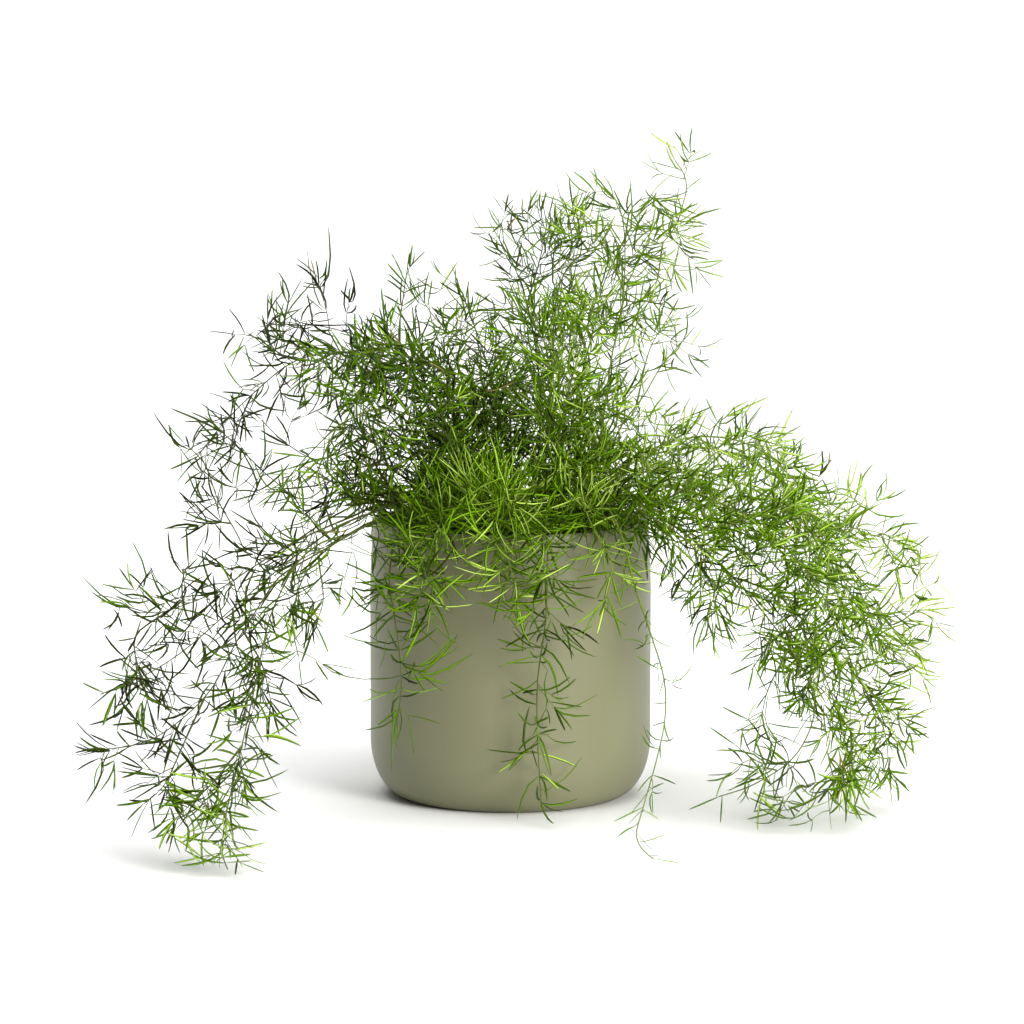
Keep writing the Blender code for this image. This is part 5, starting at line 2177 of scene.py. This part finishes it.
@dataclass(frozen=True)
class Lamp:
    """A square soft light. Sizes in metres.

    Attributes:
        name: Its name.
        place: Where it stands.
        aim: What it looks at.
        size: The length of its sides.
        power: In watts.
        colour: Its colour.
    """

    name: str
    place: Point
    aim: Point
    size: float
    power: float
    colour: Colour = (1.0, 1.0, 1.0)

    def build(self) -> None:
        """Put it up, facing what it looks at."""
        light = bpy.data.lights.new(self.name, "AREA")
        light.size = self.size
        light.energy = self.power
        light.color = self.colour
        holder = new_object(self.name, light)
        holder.location = self.place
        way = Vector(self.aim) - Vector(self.place)
        holder.rotation_euler = way.to_track_quat("-Z", "Y").to_euler()


@dataclass(frozen=True)
class Studio:
    """A pale seamless floor, soft light and a camera. Sizes in metres.

    Attributes:
        width: The floor's half width.
        front: How far it reaches in front of the pot.
        back: Where it starts to curve up.
        bend: The radius of that curve.
        rise: The height that it reaches.
        air: How bright the surround is.
        eye: Where the camera stands.
        dip: How far below level it looks, in degrees.
        film: The width of its film, in millimetres.
        reach: Its focal length, in widths of the film.
        sight: How far it sees.
        lamps: The lights.
    """

    width: float = 4.0
    front: float = -4.0
    back: float = 2.2
    bend: float = 0.8
    rise: float = 3.0
    air: float = 0.12
    eye: Point = (0.0008, -2.177, 0.416)
    dip: float = 6.93
    film: float = 36.0
    reach: float = 4114 / 1024
    sight: float = 50.0
    lamps: tuple[Lamp, ...] = (
        Lamp("overhead", (0.2, -0.5, 2.5), (0.0, 0.0, 0.0), 2.5, 76.0),
        Lamp("backdrop", (0.0, 1.0, 2.2), (0.0, 3.0, 0.6), 2.4, 60.0),
        Lamp("key", (1.25, -1.65, 0.80), (0.0, 0.0, 0.15), 0.8, 53.0, (1.0, 0.985, 0.95)),
    )

    def build(self) -> None:
        """Put up the floor, the world, the lights and the camera."""
        self.build_floor()
        self.build_world()
        for lamp in self.lamps:
            lamp.build()
        self.build_camera()

    def build_floor(self) -> None:
        """One sheet: flat, then a quarter circle, then upright, the same all the way across."""
        turn = np.linspace(0, math.pi / 2, 17)[1:, None]
        curve = np.hstack([self.back + self.bend * np.sin(turn), self.bend * (1 - np.cos(turn))])
        flat = [(self.front, 0.0), (self.back, 0.0)]
        profile = np.vstack([flat, curve, (self.back + self.bend, self.rise)])
        sides = np.tile([self.width, -self.width], len(profile))
        points = np.column_stack([sides, np.repeat(profile, 2, axis=0)])
        low = np.arange(len(profile) - 1) * 2
        faces = np.stack([low, low + 2, low + 3, low + 1], 1)
        mesh = bpy.data.meshes.new("floor_sheet")
        mesh.from_pydata(points.tolist(), [], faces.tolist())
        mesh.shade_smooth()
        mesh.materials.append(PAPER.make())
        floor = new_object("floor_sheet", mesh)

    def build_world(self) -> None:
        """An even white surround."""
        world = bpy.data.worlds.new("studio_air")
        world.use_nodes = True
        sky = world.node_tree.nodes["Background"]
        sky.inputs["Color"].default_value = (1.0, 1.0, 1.0, 1.0)
        sky.inputs["Strength"].default_value = self.air
        bpy.context.scene.world = world
        bpy.context.scene.view_settings.view_transform = "Standard"

    def build_camera(self) -> None:
        """A long lens, level with the top of the crest, looking a little down."""
        lens = bpy.data.cameras.new("camera")
        lens.sensor_width = self.film
        lens.lens = self.film * self.reach
        lens.clip_end = self.sight
        camera = new_object("camera", lens)
        camera.location = self.eye
        camera.rotation_euler = (math.radians(90 - self.dip), 0.0, 0.0)
        bpy.context.scene.camera = camera


def main() -> None:
    """Build the pot, the soil, every stem and the room, in that order."""
    logging.basicConfig(level=logging.INFO, format="%(name)s: %(message)s")
    Pot().build(GLAZE.make())
    soil = Soil()
    soil.build_body(EARTH.make())
    soil.build_crumbs(CRUMB.make())
    Growth().grow(STEMS)
    LOG.info("stems laid out")
    materials = [BARK.make(), NEEDLE.make()]
    for seed, stem in enumerate(STEMS):
        stem.build(seed, materials)
    Studio().build()


if __name__ == "__main__":
    main()
